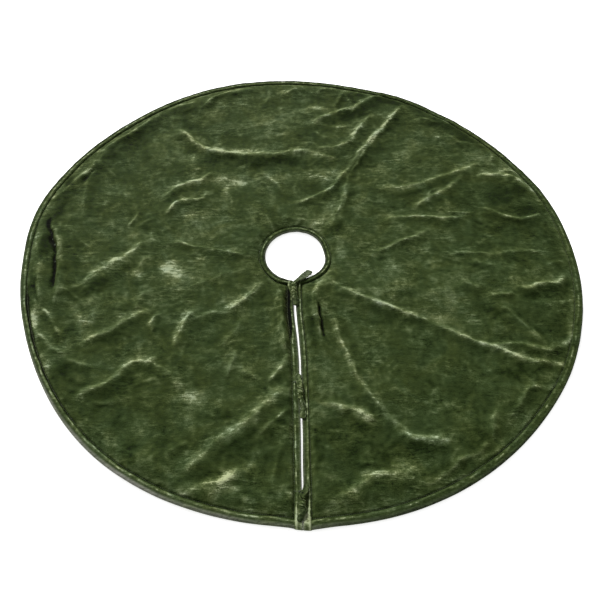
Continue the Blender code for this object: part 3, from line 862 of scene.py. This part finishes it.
def velvet(name, tone=0.405):
    """Short crushed pile: its shade follows the tone attribute, which holds how the pile lies together with
    painted highlights and painted shade.
    Where it is scuffed, and more so under the painted highlights, it has thin pale strokes and a coarser
    grain, and where it is brushed it is smooth."""
    look = Look(name)
    flat = look.attribute("flat", "Vector")
    scuffing_and_shade = look.attribute("scuff_and_shade")
    tufts = look.noise(look.stretched(flat, (110.0, 200.0, 1.0)), 1.0, 3.0, 0.65, 0.4)
    pile = look.noise(flat, 430.0, 2.0, 0.6)
    long_strokes = look.noise(look.stretched(flat, (24.0, 130.0, 1.0), 8.0), 1.0, 3.0, 0.55, 1.0)
    short_strokes = look.noise(look.stretched(flat, (48.0, 160.0, 1.0), -28.0), 1.0, 3.0, 0.6, 0.8)
    long_strokes = look.between(long_strokes, 0.46, 0.72)
    short_strokes = look.between(short_strokes, 0.52, 0.76)
    strokes = look.math("MULTIPLY", look.math("MAXIMUM", long_strokes, short_strokes), scuffing_and_shade)
    grain = look.total(0.0, (tufts, 0.70), (pile, 0.55))
    grain = look.math("MULTIPLY", grain, look.math("MULTIPLY_ADD", scuffing_and_shade, 0.65, 0.40))

    # The tone attribute holds the lie of the pile with painted highlights and painted shade.
    lie_and_light = look.math("MULTIPLY_ADD", look.attribute("tone"), 0.24, tone)
    total = look.math("MULTIPLY_ADD", strokes, 0.19, look.math("ADD", lie_and_light, grain))
    colour = look.ramp(total, VELVET_TONES)
    shift = look.ramp(look.noise(flat, 15.0, 4.0, 0.6, 0.8), ((0.36, WARM_SHIFT), (0.64, COOL_SHIFT)))
    colour = look.mix(1.0, colour, shift, "MULTIPLY")
    # Mix towards the pale grey of the cloth's back, which at the rim's front left is a painted sheen too.
    bare_and_sheen = look.math("MULTIPLY", look.attribute("bare_and_sheen"), look.between(tufts, 0.30, 0.60, 0.65, 1.0))
    look.surface(
        Base_Color=look.mix(bare_and_sheen, colour, BARE_AND_SHEEN_GREY),
        Roughness=look.between(tufts, 0.3, 0.7, 0.75, 0.95),
        Specular_IOR_Level=0.05,
        Sheen_Weight=0.30,
        Sheen_Roughness=0.35,
        Sheen_Tint=(0.45, 0.56, 0.18),
    )
    ridges = look.bump(strokes, 0.0006, 0.6)
    uneven = look.bump(tufts, 0.0012, 0.7, ridges)
    look.surface(Normal=look.bump(pile, 0.0007, 0.7, uneven))
    return look.material


def cotton(name):
    """Plain-woven cotton: crossing threads with slubs."""
    look = Look(name)
    flat = look.attribute("flat", "Vector")
    weave = look.math("MAXIMUM", look.wave(flat, 320.0, "X", 0.6), look.wave(flat, 320.0, "Y", 0.6))
    slubs = look.noise(look.stretched(flat, (40.0, 420.0, 1.0)), 1.0)
    clouds = look.noise(flat, 14.0, 4.0)
    tone = look.total(0.5, (weave, 0.5), (slubs, 1.0), (clouds, 1.0))
    look.surface(
        Base_Color=look.ramp(tone, ((0.1, (0.022, 0.034, 0.016)), (0.9, (0.060, 0.078, 0.042)))),
        Roughness=look.between(slubs, 0.3, 0.7, 0.78, 0.92),
        Specular_IOR_Level=0.2,
        Sheen_Weight=0.1,
        Normal=look.bump(weave, 0.0004, 0.7),
    )
    return look.material


def thread_material(name):
    """Twisted sewing thread."""
    look = Look(name)
    flat = look.attribute("flat", "Vector")
    ply = look.wave(flat, 700.0, "DIAGONAL")
    shade = look.noise(flat, 60.0, 2.0)
    tone = look.total(0.5, (ply, 0.6), (shade, 1.2))
    look.surface(
        Base_Color=look.ramp(tone, ((0.1, (0.028, 0.042, 0.016)), (0.9, (0.085, 0.110, 0.052)))),
        Roughness=look.between(shade, 0.3, 0.7, 0.5, 0.7),
        Specular_IOR_Level=0.2,
        Sheen_Weight=0.2,
        Normal=look.bump(ply, 0.0002, 0.6),
    )
    return look.material


# ---------------------------------------------------------------- cloths
# Outwards and round, the length of a cell; cells are finer beside the seams.
VELVET_CELLS = (0.0032, 0.0038)
LINING_CELLS = (0.0075, 0.0090)
EDGE_CELL = 0.0014
EDGE_ROWS, EDGE_COLUMNS = 6, 9
# The cloths run on under the hems by this much.
CLOTH_LAP = 0.0010
# The lining is this far off the floor, and follows this share of the velvet's relief.
LINING_LIFT, LINING_FOLLOWS = 0.0006, 0.88


def spread(length, usual, edge_cells, both=True):
    """Shares from 0 to 1 along a length: fine cells near its end, or near both, and usual ones between."""
    edge = np.linspace(EDGE_CELL, usual, edge_cells)
    inner = length - edge.sum() * (2 if both else 1)
    count = max(1, int(round(inner / usual)))
    cells = np.concatenate([edge if both else [], np.full(count, inner / count), edge[::-1]])
    return np.concatenate([[0.0], np.cumsum(cells)]) / length


def sweep(side, radius, share, setback):
    """Directions at shares of the way from the packing crease to the slit, set back from its middle."""
    tilt = np.arcsin(setback / radius)
    end = SLIT_ANGLES[side] + (tilt if side == "right" else -tilt)
    return CREASE_ANGLE + (end - CREASE_ANGLE) * share


def half_arc(side, radius):
    return abs(SLIT_ANGLES[side] - CREASE_ANGLE) * radius


def half_grid(side, cells):
    """Flat points of one half of a cloth: rows go outwards, columns from the crease to the slit."""
    inner, outer = HOLE_SEAM - CLOTH_LAP, RIM_SEAM + CLOTH_LAP
    radius = inner + (outer - inner) * spread(outer - inner, cells[0], EDGE_ROWS)[:, None]
    share = spread(half_arc(side, outer), cells[1], EDGE_COLUMNS, both=False)[None, :]
    angle = sweep(side, radius, share, SLIT_SEAM - CLOTH_LAP)
    return radius * np.cos(angle), radius * np.sin(angle)


def seam_distance(x, y):
    """How far a point of the face is from its nearest seam, in metres."""
    radius = np.hypot(x, y)
    near = np.minimum(RIM_SEAM - radius, radius - HOLE_SEAM)
    slit = np.where(y < 0, np.abs(x) - SLIT_SEAM, 1.0)
    return np.maximum(np.minimum(near, slit), 0.0)


def seam_relief(x, y):
    """The stitches pull the cloth down, so that it puffs up beside them, and gather it into short waves.

    Gives the extra height and the waves."""
    away = seam_distance(x, y)
    beside_slit = (np.abs(x) - SLIT_SEAM < 0.03) & (y < 0)
    radius = np.hypot(x, y)
    along = np.where(beside_slit, radius, np.arctan2(y, x) * radius)
    waves = noise(along, 0.02 + 4 * away, 0.011, 97) * np.exp(-away / 0.013)
    furrow = 0.0016 * bell(away, 0.0, 0.0028)
    puff = 0.0014 * (away / 0.012) * np.exp(1 - away / 0.012)
    return puff - furrow + 0.0011 * waves, waves


def by_top_tie(x, y):
    """1 beside the left edge of the slit, along the top tie's knot."""
    return (x < 0) * ease(0.085, 0.105, -y) * (1 - ease(0.19, 0.24, -y))


def painted_groove_darkness(x, y):
    """How dark the groove beside the stitches is painted, as shadow: darkest round the front left of the rim
    and beside the top tie.
    """
    degrees = direction(x, y)
    front_left = bell(degrees, 206.0, 14.0) + 0.35 * bell(degrees, 236.0, 30.0)
    at_rim = ease(0.4, 0.5, np.hypot(x, y))
    return 0.35 + 1.2 * front_left * at_rim + 2.2 * by_top_tie(x, y)


def velvet_face(lie_and_light, side, material):
    """One half of the velvet, with the folds, the lie of its pile, the painted light of the folds and seams,
    and the furrows beside its seams.
    """
    x, y = half_grid(side, VELVET_CELLS)
    lx, ly = laid_out(x, y)
    away = seam_distance(x, y)
    relief, waves = seam_relief(x, y)
    # The groove beside the stitches is painted with shadow.
    groove_shadow = painted_groove_darkness(x, y) * bell(away, 0.0, 0.0026 + 0.0022 * by_top_tie(x, y))
    puff_highlight = bell(away, 0.0055, 0.0030)
    # Beside the seams the puckers are painted lighter where they stand up, a painted highlight lies along the
    # puff, and the groove by the stitches is painted with shadow.
    tone = lie_and_light.read(lie_and_light.tone, lx, ly) + 0.55 * waves + 0.35 * puff_highlight - 1.7 * groove_shadow
    attributes = {
        "flat": flat_vectors(x, y),
        "tone": tone.ravel(),
        "scuff_and_shade": lie_and_light.read(lie_and_light.scuff_and_shade, lx, ly).ravel(),
        "bare_and_sheen": np.zeros(x.size),
    }
    z = VELVET_TOP + lie_and_light.at(lx, ly) + relief
    face = grid_mesh(f"velvet_cloth_{side}", lx, ly, z, material, attributes)
    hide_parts(f"velvet_face_{side}", "velvet_face_back")
    bend_over_fold(face)
    return face


def lining(lie_and_light, side, material):
    """One half of the lining, which faces the floor."""
    x, y = half_grid(side, LINING_CELLS)
    lx, ly = laid_out(x, y)
    z = LINING_LIFT + LINING_FOLLOWS * lie_and_light.at(lx, ly)
    attributes = {"flat": flat_vectors(x, y)}
    sheet = grid_mesh(f"lining_cloth_{side}", lx, ly, z, material, attributes, up=False)
    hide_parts(f"lining_{side}", "lining_back")
    bend_over_fold(sheet)
    return sheet


# ---------------------------------------------------------------- hems
HEM_CORNERS = 22
HEM_LAP = 0.0006
# No part of a hem comes lower than this.
FLOOR_GAP = 0.0002
# At the front the rim's lower edge spreads out under the roll.
RIM_FLARE = 0.0045
# How far the round hems' ends stop short of the slit's open edge, under the slit hems.
TUCKED_IN = 0.0030
# The slit hems reach past the rim's open edge, and stop short of the trunk hole's.
PAST_RIM, SHORT_OF_HOLE = 0.0035, 0.0010
SLIT_CELL = 0.0030
# At the front corners the slit's edges all but meet.
DRAWN_AT_CORNER = SLIT_EDGE - 0.00006

# The radius of the open edge and of the seam, which way the cloth lies from the edge, the length of a cell,
# and where the noise starts.
RoundEdge = namedtuple("RoundEdge", "edge seam inwards cell seed")
ROUND_EDGES = {
    "rim": RoundEdge(RADIUS, RIM_SEAM, -1, 0.0034, 101),
    "trunk_hole": RoundEdge(HOLE_EDGE, HOLE_SEAM, 1, 0.0020, 131),
}


def squared_off(wave, power):
    """A sine or cosine with broader tops, for rings of points that are less round."""
    return np.sign(wave) * np.abs(wave) ** power


def hem_profile(width, height):
    """A rolled hem seen end on: distance in from the open edge, and height, all the way round."""
    turns = np.linspace(0.0, 2 * np.pi, HEM_CORNERS, endpoint=False) + np.pi
    across = 0.5 + 0.5 * squared_off(np.cos(turns), 0.75)
    up = 0.5 + 0.5 * squared_off(np.sin(turns), 0.66)
    return across * width, up * height


def height_share(rise, x):
    """How high each corner of each ring is, as a share of the hem's height."""
    return np.broadcast_to(np.clip(rise / HEM_TOP, 0, 1)[None, :], x.shape)


def hem_surface(along, share, up, seed, seam_at, groove_shadow):
    """The roll isn't even: it puckers and twists, and a ridge stands up beside its stitches; the ridge is
    painted with a highlight, and its furrow and the groove by the face with shade.

    Gives the extra height and the tone."""
    lumps = 0.0008 * noise(along, share * 0.05, 0.016, seed)
    lumps += 0.0009 * noise(along, share * 0.02, 0.055, seed + 1)
    wander = seam_at + 0.08 * layers(along, 0 * share, 0.045, seed + 2, 2)
    gather = noise(along, share * 0.01, 0.007, seed + 3) + 0.6 * noise(along, 0 * share, 0.030, seed + 7)
    ridge = bell(share, wander, 0.08) * np.clip(0.85 + 0.9 * gather, 0.1, 1.9)
    furrow = bell(share, wander - 0.30, 0.18)
    height = lumps + 0.0014 * ridge - 0.0008 * furrow
    # Painted highlight on the ridge; painted shade in the furrow and in the groove by the face.
    tone = 2.3 * ridge - 0.5 * furrow - 1.5 * groove_shadow * ease(wander + 0.10, wander + 0.24, share)
    tone += 0.45 * noise(along, share * 0.03, 0.012, seed + 4)
    tone += 0.30 * noise(along, share * 0.05, 0.05, seed + 8)
    return height * up, tone * up


def rim_edge(angle, share, along, seed):
    """The rim's turned edge is painted pale grey at the front left: the cloth's pale back shows there, with a
    painted sheen on it. Painted shade makes it dull at the right and back.

    Gives the extra tone and how far the edge is mixed towards the pale grey."""
    lip = bell(share, 0.0, 0.22)
    degrees = np.degrees(angle) % 360
    front_left = bell(degrees, 232.0, 34.0)
    back = ease(10.0, 50.0, degrees) * (1 - ease(150.0, 190.0, degrees))
    patchy = ease(-0.7, 0.5, noise(along, 0 * share, 0.08, seed + 6))
    # The pale grey is the cloth's back showing, with a painted sheen at the front left.
    bare_and_sheen = lip * (0.06 + 0.85 * front_left) * (0.5 + 0.5 * patchy)
    right = ease(-0.1, 0.5, np.cos(angle))
    shaded_right = (bell(share, 0.66, 0.16) + 1.2 * lip) * right
    return (0.3 + 0.4 * front_left) * lip - 1.8 * lip * back - shaded_right, bare_and_sheen


def pale_lip(share):
    """A little of the cloth's pale back shows along the open edge."""
    return 0.25 * bell(share, 0.0, 0.2)


def hem_mesh(name, rings, x, y, tone, bare_and_sheen, material):
    attributes = {
        "flat": flat_vectors(x, y),
        "tone": tone.ravel(),
        "scuff_and_shade": np.full(x.size, 0.9),
        "bare_and_sheen": np.broadcast_to(bare_and_sheen, x.shape).ravel(),
    }
    return tube_mesh(name, rings, material, attributes)


def round_hem(lie_and_light, side, kind, material):
    """The rolled hem round the rim or the trunk hole, from the packing crease to the slit."""
    edge, seam, inwards, cell, seed = ROUND_EDGES[kind]
    at_rim = kind == "rim"
    width = abs(edge - seam) + HEM_LAP
    across, rise = hem_profile(width, HEM_TOP + HEM_LAP)
    arc = half_arc(side, edge)
    share = np.linspace(0.0, 1.0, int(arc / cell))[:, None]
    radius = edge + inwards * across[None, :]
    angle = sweep(side, radius, share, SLIT_EDGE + TUCKED_IN)
    if at_rim:
        radius = radius + RIM_FLARE * ease(0.3, 1.0, -np.sin(angle)) * np.clip(1 - rise / HEM_TOP, 0, 1)
    x, y = radius * np.cos(angle), radius * np.sin(angle)
    lapped = edge + inwards * width
    lift = lie_and_light.at(*laid_out(lapped * np.cos(angle), lapped * np.sin(angle)))
    up = height_share(rise, x)
    along = share * arc + 0 * x
    part = across / width + 0 * x
    extra, tone = hem_surface(along, part, up, seed, 0.66, painted_groove_darkness(x, y))
    if at_rim:
        edge_tone, bare_and_sheen = rim_edge(angle, part, along, seed)
    else:
        edge_tone, bare_and_sheen = -0.7 * up, pale_lip(part)
    rings = np.stack([*laid_out(x, y), np.maximum(rise + lift + extra, FLOOR_GAP)], -1)
    hem = hem_mesh(f"{kind}_hem_rolled_{side}", rings, x, y, tone + edge_tone, bare_and_sheen, material)
    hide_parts(f"{kind}_hem_{side}", f"{kind}_hem_back")
    bend_over_fold(hem)


def slit_hem(lie_and_light, side, material):
    """The rolled hem along one edge of the slit, turned over the ends of the round hems."""
    sign = -1 if side == "left" else 1
    width = SLIT_SEAM - SLIT_EDGE + HEM_LAP
    across, rise = hem_profile(width, HEM_TOP)
    start, end = HOLE_EDGE + SHORT_OF_HOLE, RADIUS + PAST_RIM
    distance = np.linspace(start, end, int((end - start) / SLIT_CELL))[:, None]
    near_rim, near_hole = distance > 0.5, distance < 0.1
    to_end = np.minimum(distance - start, end - distance)
    pinch = np.sqrt(np.minimum(1.0, to_end / 0.006 + 0.04))
    narrowed = np.where(near_rim, 1.0, pinch)
    corner = bell(to_end, 0.016, 0.020)
    x = sign * (SLIT_EDGE + width * 0.5 + (across - width * 0.5) * (0.55 + 0.45 * narrowed))
    y = -np.where(near_rim | near_hole, np.sqrt(np.maximum(distance**2 - x**2, 0.0)), distance)
    up = height_share(rise, x)
    seed = 151 if side == "left" else 171
    part = across / width + 0 * x
    seam_at = 0.72 - 0.30 * by_top_tie(x, y)
    extra, tone = hem_surface(distance + 0 * x, part, up, seed, seam_at, 0.25 + painted_groove_darkness(x, y))
    lift = lie_and_light.at(*laid_out(sign * (SLIT_SEAM + CLOTH_LAP) + 0 * x, y))
    z = rise * (0.35 + 0.65 * pinch) * (1 + 0.6 * corner) + lift + extra
    crushed = 2.4 + 2.2 * noise(distance + 0 * x, x, 0.006, 193)
    tone = tone + crushed * corner * near_rim * up
    lx, ly = laid_out(x - sign * slit_drawn_in(side, distance) * (1 - part), y)
    rings = np.stack([lx, ly, np.maximum(z, FLOOR_GAP)], -1)
    hem = hem_mesh(f"slit_hem_rolled_{side}", rings, x, y, tone, pale_lip(part), material)
    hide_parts(f"slit_hem_{side}")
    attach(hem, SIDES[side])


def slit_drawn_in(side, distance):
    """How far the ties draw each edge of the slit in from where it was cut."""
    far_out = ease(0.43, 0.50, distance)
    if side == "left":
        drawn = 0.0018 - 0.0009 * far_out
    else:
        drawn = 0.0011 * ease(0.15, 0.24, distance) + 0.0012 * far_out
    corner = ease(0.565, 0.592, distance)
    return drawn * (1 - corner) + DRAWN_AT_CORNER * corner


# ---------------------------------------------------------------- stitches
STITCH_PITCH = 0.0036
STITCH_LENGTH = 0.0028
STITCH_RADIUS = 0.00036
STITCH_CORNERS = 5
# The rows run this far from their seam, on the side of the cloth.
STITCH_INSET = 0.0012
BAR_TACK_STITCHES = 11
# Along one stitch, from end to end: place, girth and height, where both ends dip into the cloth.
STITCH_HALF = ((0.4, 1.0, 0.0), (0.86, 0.72, -0.5), (1.0, 0.12, -1.2))
STITCH_SHAPE = np.array([(-place, girth, dip) for place, girth, dip in STITCH_HALF[::-1]] + list(STITCH_HALF))


def stitches_mesh(name, spots, headings, heights, material):
    """Rows of separate stitches: each is a thin rounded thread that dips at both ends."""
    turns = np.linspace(0, 2 * np.pi, STITCH_CORNERS, endpoint=False)
    place, girth, dip = (STITCH_SHAPE[None, :, None, i] for i in range(3))
    sideways = STITCH_RADIUS * girth * np.cos(turns)
    rise = STITCH_RADIUS * (girth * np.sin(turns) + dip)
    dx, dy = headings[:, 0, None, None], headings[:, 1, None, None]
    x = spots[:, 0, None, None] + dx * place * STITCH_LENGTH / 2 - dy * sideways
    y = spots[:, 1, None, None] + dy * place * STITCH_LENGTH / 2 + dx * sideways
    z = heights[:, None, None] + rise + 0 * x
    one = tube_faces(len(STITCH_SHAPE), STITCH_CORNERS)
    size = len(STITCH_SHAPE) * STITCH_CORNERS
    faces = [[corner + size * i for corner in face] for i in range(len(spots)) for face in one]
    points = np.stack([x, y, z], -1).reshape(-1, 3)
    obj = link_mesh(name, points, faces, material, {"flat": flat_vectors(x, y)})
    face_outwards(obj.data)
    return obj


def stitch_row(lie_and_light, x, y):
    """Places, headings and heights of stitches that lie in the seam's furrow."""
    lx, ly = laid_out(x, y)
    z = VELVET_TOP + lie_and_light.at(lx, ly) + seam_relief(x, y)[0] + 0.0002
    headings = np.stack([np.gradient(lx), np.gradient(ly)], 1)
    headings /= np.linalg.norm(headings, axis=1)[:, None]
    return np.stack([lx, ly], 1), headings, z


def round_stitches(lie_and_light, side, kind, material):
    radius = ROUND_EDGES[kind].seam + ROUND_EDGES[kind].inwards * STITCH_INSET
    arc = half_arc(side, radius)
    share = (np.arange(int(arc / STITCH_PITCH)) + 0.5) * STITCH_PITCH / arc
    angle = sweep(side, radius, share, SLIT_SEAM + STITCH_INSET)
    row = stitch_row(lie_and_light, radius * np.cos(angle), radius * np.sin(angle))
    obj = stitches_mesh(f"{kind}_topstitch_row_{side}", *row, material)
    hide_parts(f"{kind}_topstitch_{side}", f"{kind}_topstitch_back")
    bend_over_fold(obj)


def slit_stitches(lie_and_light, side, material):
    sign = -1 if side == "left" else 1
    distance = np.arange(HOLE_SEAM + 0.004, RIM_SEAM - 0.004, STITCH_PITCH)
    row = stitch_row(lie_and_light, np.full_like(distance, sign * (SLIT_SEAM + STITCH_INSET)), -distance)
    obj = stitches_mesh(f"slit_topstitch_row_{side}", *row, material)
    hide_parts(f"slit_topstitch_{side}")
    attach(obj, SIDES[side])


def bar_tack(place, side, material):
    """Dense stitches side by side, right through the slit hem."""
    low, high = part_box(f"bar_tack_{place}_{side}")
    count = BAR_TACK_STITCHES
    middle = (low.y + high.y) / 2
    x = np.linspace(low.x, high.x, count) + slit_shift(middle)
    y = np.full(count, middle) + np.tile((0.0003, 0.0), count)[:count]
    heights = np.full(count, HEM_TOP + 0.0010)
    headings = np.tile((0.0, 1.0), (count, 1))
    obj = stitches_mesh(f"bar_tack_{place}_{side}_threads", np.stack([x, y], 1), headings, heights, material)
    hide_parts(f"bar_tack_{place}_{side}")
    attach(obj, SIDES[side])


# ---------------------------------------------------------------- ties
# The routes are the CAD's own: twisted pairs along the slit, and the free tails.
TWIST_SPANS = {"top": (0.083, 0.111), "middle": (0.334, 0.362), "bottom": (0.560, 0.586)}
TWIST_TURNS = 1.5
TWIST_RADIUS = 0.0027
TWIST_HEIGHT = 0.0108
TWIST_STEPS = 15
ROOT_RUN = 0.012
ROOT_HEIGHT = 0.0030
LEFT_TAILS = {
    "top": ((0.0016, -0.120, 0.0122), (0.0028, -0.129, 0.0090), (0.0030, -0.138, 0.0079)),
    "middle": (
        (0.0026, -0.371, 0.0122),
        (0.0042, -0.380, 0.0090),
        (0.0038, -0.392, 0.0079),
        (0.0022, -0.404, 0.0079),
    ),
    "bottom": ((-0.0022, -0.593, 0.0124), (-0.0046, -0.599, 0.0096), (-0.0060, -0.605, 0.0080)),
}
RIGHT_TAILS = {
    "top": (
        (0.0050, -0.0755, 0.0128),
        (0.0120, -0.0675, 0.0108),
        (0.0190, -0.0580, 0.0088),
        (0.0258, -0.0485, 0.0062),
        (0.0300, -0.0410, 0.0034),
    ),
    "middle": ((-0.0020, -0.325, 0.0122), (-0.0036, -0.316, 0.0092), (-0.0030, -0.305, 0.0079)),
    "bottom": ((0.0034, -0.551, 0.0122), (0.0058, -0.543, 0.0092), (0.0064, -0.535, 0.0079)),
}
TIE_WIDTH = 0.0115
TIE_THICK = 0.0030
TIE_CORNERS = 20
# Half sizes of a tie where it is gathered, and how much wider it is inside the knot.
GATHERED_WIDE, GATHERED_THICK, KNOT_WIDER = 0.0028, 0.0025, 0.0024
# The loose end over the trunk hole is opened out to this many times the usual width.
OPENED_OUT = 1.35


def twist_points(span, outwards):
    """One tie's way round the other inside a knot; the two start half a turn apart."""
    start, end = span if outwards else reversed(span)
    points = []
    for step in range(TWIST_STEPS + 1):
        share = step / TWIST_STEPS
        turn = 2 * math.pi * TWIST_TURNS * (share if outwards else 1 - share)
        phase = turn if outwards else turn + math.pi
        aside, rise = -TWIST_RADIUS * math.sin(phase), -TWIST_RADIUS * math.cos(phase)
        points.append((aside, -(start + (end - start) * share), TWIST_HEIGHT + rise))
    return points


def tie_route(place, side):
    """The middle line of a tie, from where it is sewn in, through the knot, to its loose end."""
    span = TWIST_SPANS[place]
    outwards = side == "left"
    first = span[0] - ROOT_RUN if outwards else span[1] + ROOT_RUN
    tail = LEFT_TAILS[place] if outwards else RIGHT_TAILS[place]
    route = smooth_line([(0.0, -first, ROOT_HEIGHT), *twist_points(span, outwards), *tail], 0.0009)
    route[:, 0] += slit_shift(route[:, 1]) * bell(route[:, 0], 0.0, 0.10)
    return route


def unit(vectors):
    return vectors / np.maximum(np.linalg.norm(vectors, axis=1)[:, None], 1e-6)


def knotted(place, route):
    """How much each point of a route belongs to the knot, from 0 to 1."""
    low, high = TWIST_SPANS[place]
    out = -route[:, 1]
    return ease(low - 0.004, low + 0.002, out) * (1 - ease(high - 0.002, high + 0.004, out))


def tie_ways(route, in_knot):
    """The ways in which the tape is wide and thick: in the knot it lies round the knot's axis."""
    tangents = unit(np.gradient(route, axis=0))
    axis = np.stack([slit_shift(route[:, 1]), route[:, 1], np.full(len(route), TWIST_HEIGHT)], 1)
    thick = unit(route - axis) * in_knot[:, None] + np.array((0.0, 0.0, 1.0)) * (1 - in_knot)[:, None]
    thick = unit(thick - (thick * tangents).sum(1)[:, None] * tangents)
    return np.cross(thick, tangents), thick


def tie(place, side, material):
    """A soft tape: gathered and lumpy where it is knotted and flat in its tail, with folded, sewn sides."""
    route = tie_route(place, side)
    along = np.concatenate([[0.0], np.cumsum(np.linalg.norm(np.diff(route, axis=0), axis=1))])
    length = along[-1]
    in_knot = knotted(place, route)
    wide_way, thick_way = tie_ways(route, in_knot)

    to_tail = ease(0.45, 0.80, along / length)
    opened = OPENED_OUT if (place, side) == ("top", "right") else 1.0
    half_wide = GATHERED_WIDE + KNOT_WIDER * in_knot + (opened * TIE_WIDTH / 2 - GATHERED_WIDE) * to_tail
    half_thick = GATHERED_THICK - (GATHERED_THICK - TIE_THICK / 2) * to_tail
    end = np.sqrt(np.clip((length - along) / 0.0035, 0.0, 1.0))
    half_wide, half_thick = half_wide * (0.25 + 0.75 * end), half_thick * (0.35 + 0.65 * end)
    turns = np.linspace(0, 2 * np.pi, TIE_CORNERS, endpoint=False)[None, :]
    run = along[:, None] + 0.002 * np.cos(turns)
    pleats = np.cos(3 * turns + 1.5 * noise(run, 0 * run, 0.012, 203))
    gathers = noise(run, 0.004 * np.sin(turns) + 0 * run, 0.005, 201)
    lump = 1 + (0.24 - 0.14 * to_tail[:, None]) * gathers + (0.04 + 0.10 * in_knot[:, None]) * pleats
    w = squared_off(np.cos(turns), 0.8) * half_wide[:, None] * lump
    t = squared_off(np.sin(turns), 0.7) * half_thick[:, None] * lump
    rings = route[:, None] + w[..., None] * wide_way[:, None] + t[..., None] * thick_way[:, None]
    flecks = noise(run, 0.01 * np.cos(turns) + 0 * run, 0.005, 207)
    # Where the pleats stand out the tape is painted lighter and in their hollows darker: painted highlight
    # and painted shade.
    tone = 0.8 * np.abs(np.cos(turns)) ** 4 + 1.2 * flecks + (0.8 + 0.6 * in_knot[:, None]) * pleats
    if place == "bottom":
        tone -= 0.8
    bare_and_sheen = (0.14 if opened > 1 else 0.02) * to_tail[:, None] + 0 * run
    points = rings.reshape(-1, 3)
    scuff_and_shade = np.ones(len(points))
    attributes = {"flat": points, "tone": tone.ravel(), "scuff_and_shade": scuff_and_shade, "bare_and_sheen": bare_and_sheen.ravel()}
    obj = tube_mesh(f"tie_{place}_{side}_tape", rings, material, attributes)
    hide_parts(f"tie_{place}_{side}")
    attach(obj, SIDES[side])


# ---------------------------------------------------------------- floor and light
SUN_AZIMUTH, SUN_ELEVATION, SUN_WIDTH = 112.0, 34.0, 14.0
SUN_STRENGTH, SKY_STRENGTH = 5.0, 0.40
# The floor is lit from below too, as on a light table, so that hardly any shadow shows on it.
FLOOR_GLOW = 0.75
FLOOR_WHITE = (0.90, 0.90, 0.90)


def make_floor():
    bpy.ops.mesh.primitive_plane_add(size=14.0, location=(0.0, 0.0, -0.0004))
    floor = bpy.context.object
    floor.name = "floor"
    look = Look("pale_floor")
    look.surface(Base_Color=FLOOR_WHITE, Roughness=0.9, Specular_IOR_Level=0.1)
    look.surface(Emission_Color=FLOOR_WHITE, Emission_Strength=FLOOR_GLOW)
    floor.data.materials.append(look.material)


def make_light():
    """A soft, low light from the back left, under a plain white sky."""
    scene = bpy.context.scene
    scene.view_settings.view_transform = "Standard"
    world = bpy.data.worlds.new("studio")
    scene.world = world
    world.use_nodes = True
    background = world.node_tree.nodes["Background"]
    background.inputs["Color"].default_value = (1.0, 1.0, 1.0, 1.0)
    background.inputs["Strength"].default_value = SKY_STRENGTH
    data = bpy.data.lights.new("key", "SUN")
    data.energy = SUN_STRENGTH
    data.angle = math.radians(SUN_WIDTH)
    turn, rise = math.radians(SUN_AZIMUTH), math.radians(SUN_ELEVATION)
    place = (math.cos(turn) * math.cos(rise), math.sin(turn) * math.cos(rise), math.sin(rise))
    look_at(bpy.data.objects.new("key", data), place, (0.0, 0.0, 0.0))


def main():
    make_camera()
    ties = velvet("tie_velvet", 0.47)
    for place in TWIST_SPANS:
        for side in SIDES:
            tie(place, side, ties)
    lie_and_light = LieAndLight()
    pile = velvet("face_velvet")
    hems = velvet("hem_velvet", 0.45)
    cloth = cotton("lining_cotton")
    thread = thread_material("sewing_thread")
    for side in SIDES:
        under = lining(lie_and_light, side, cloth)
        face = velvet_face(lie_and_light, side, pile)
        for kind in ROUND_EDGES:
            round_hem(lie_and_light, side, kind, hems)
            round_stitches(lie_and_light, side, kind, thread)
        slit_hem(lie_and_light, side, hems)
        slit_stitches(lie_and_light, side, thread)
        for place in TWIST_SPANS:
            bar_tack(place, side, thread)
    make_floor()
    make_light()


main()
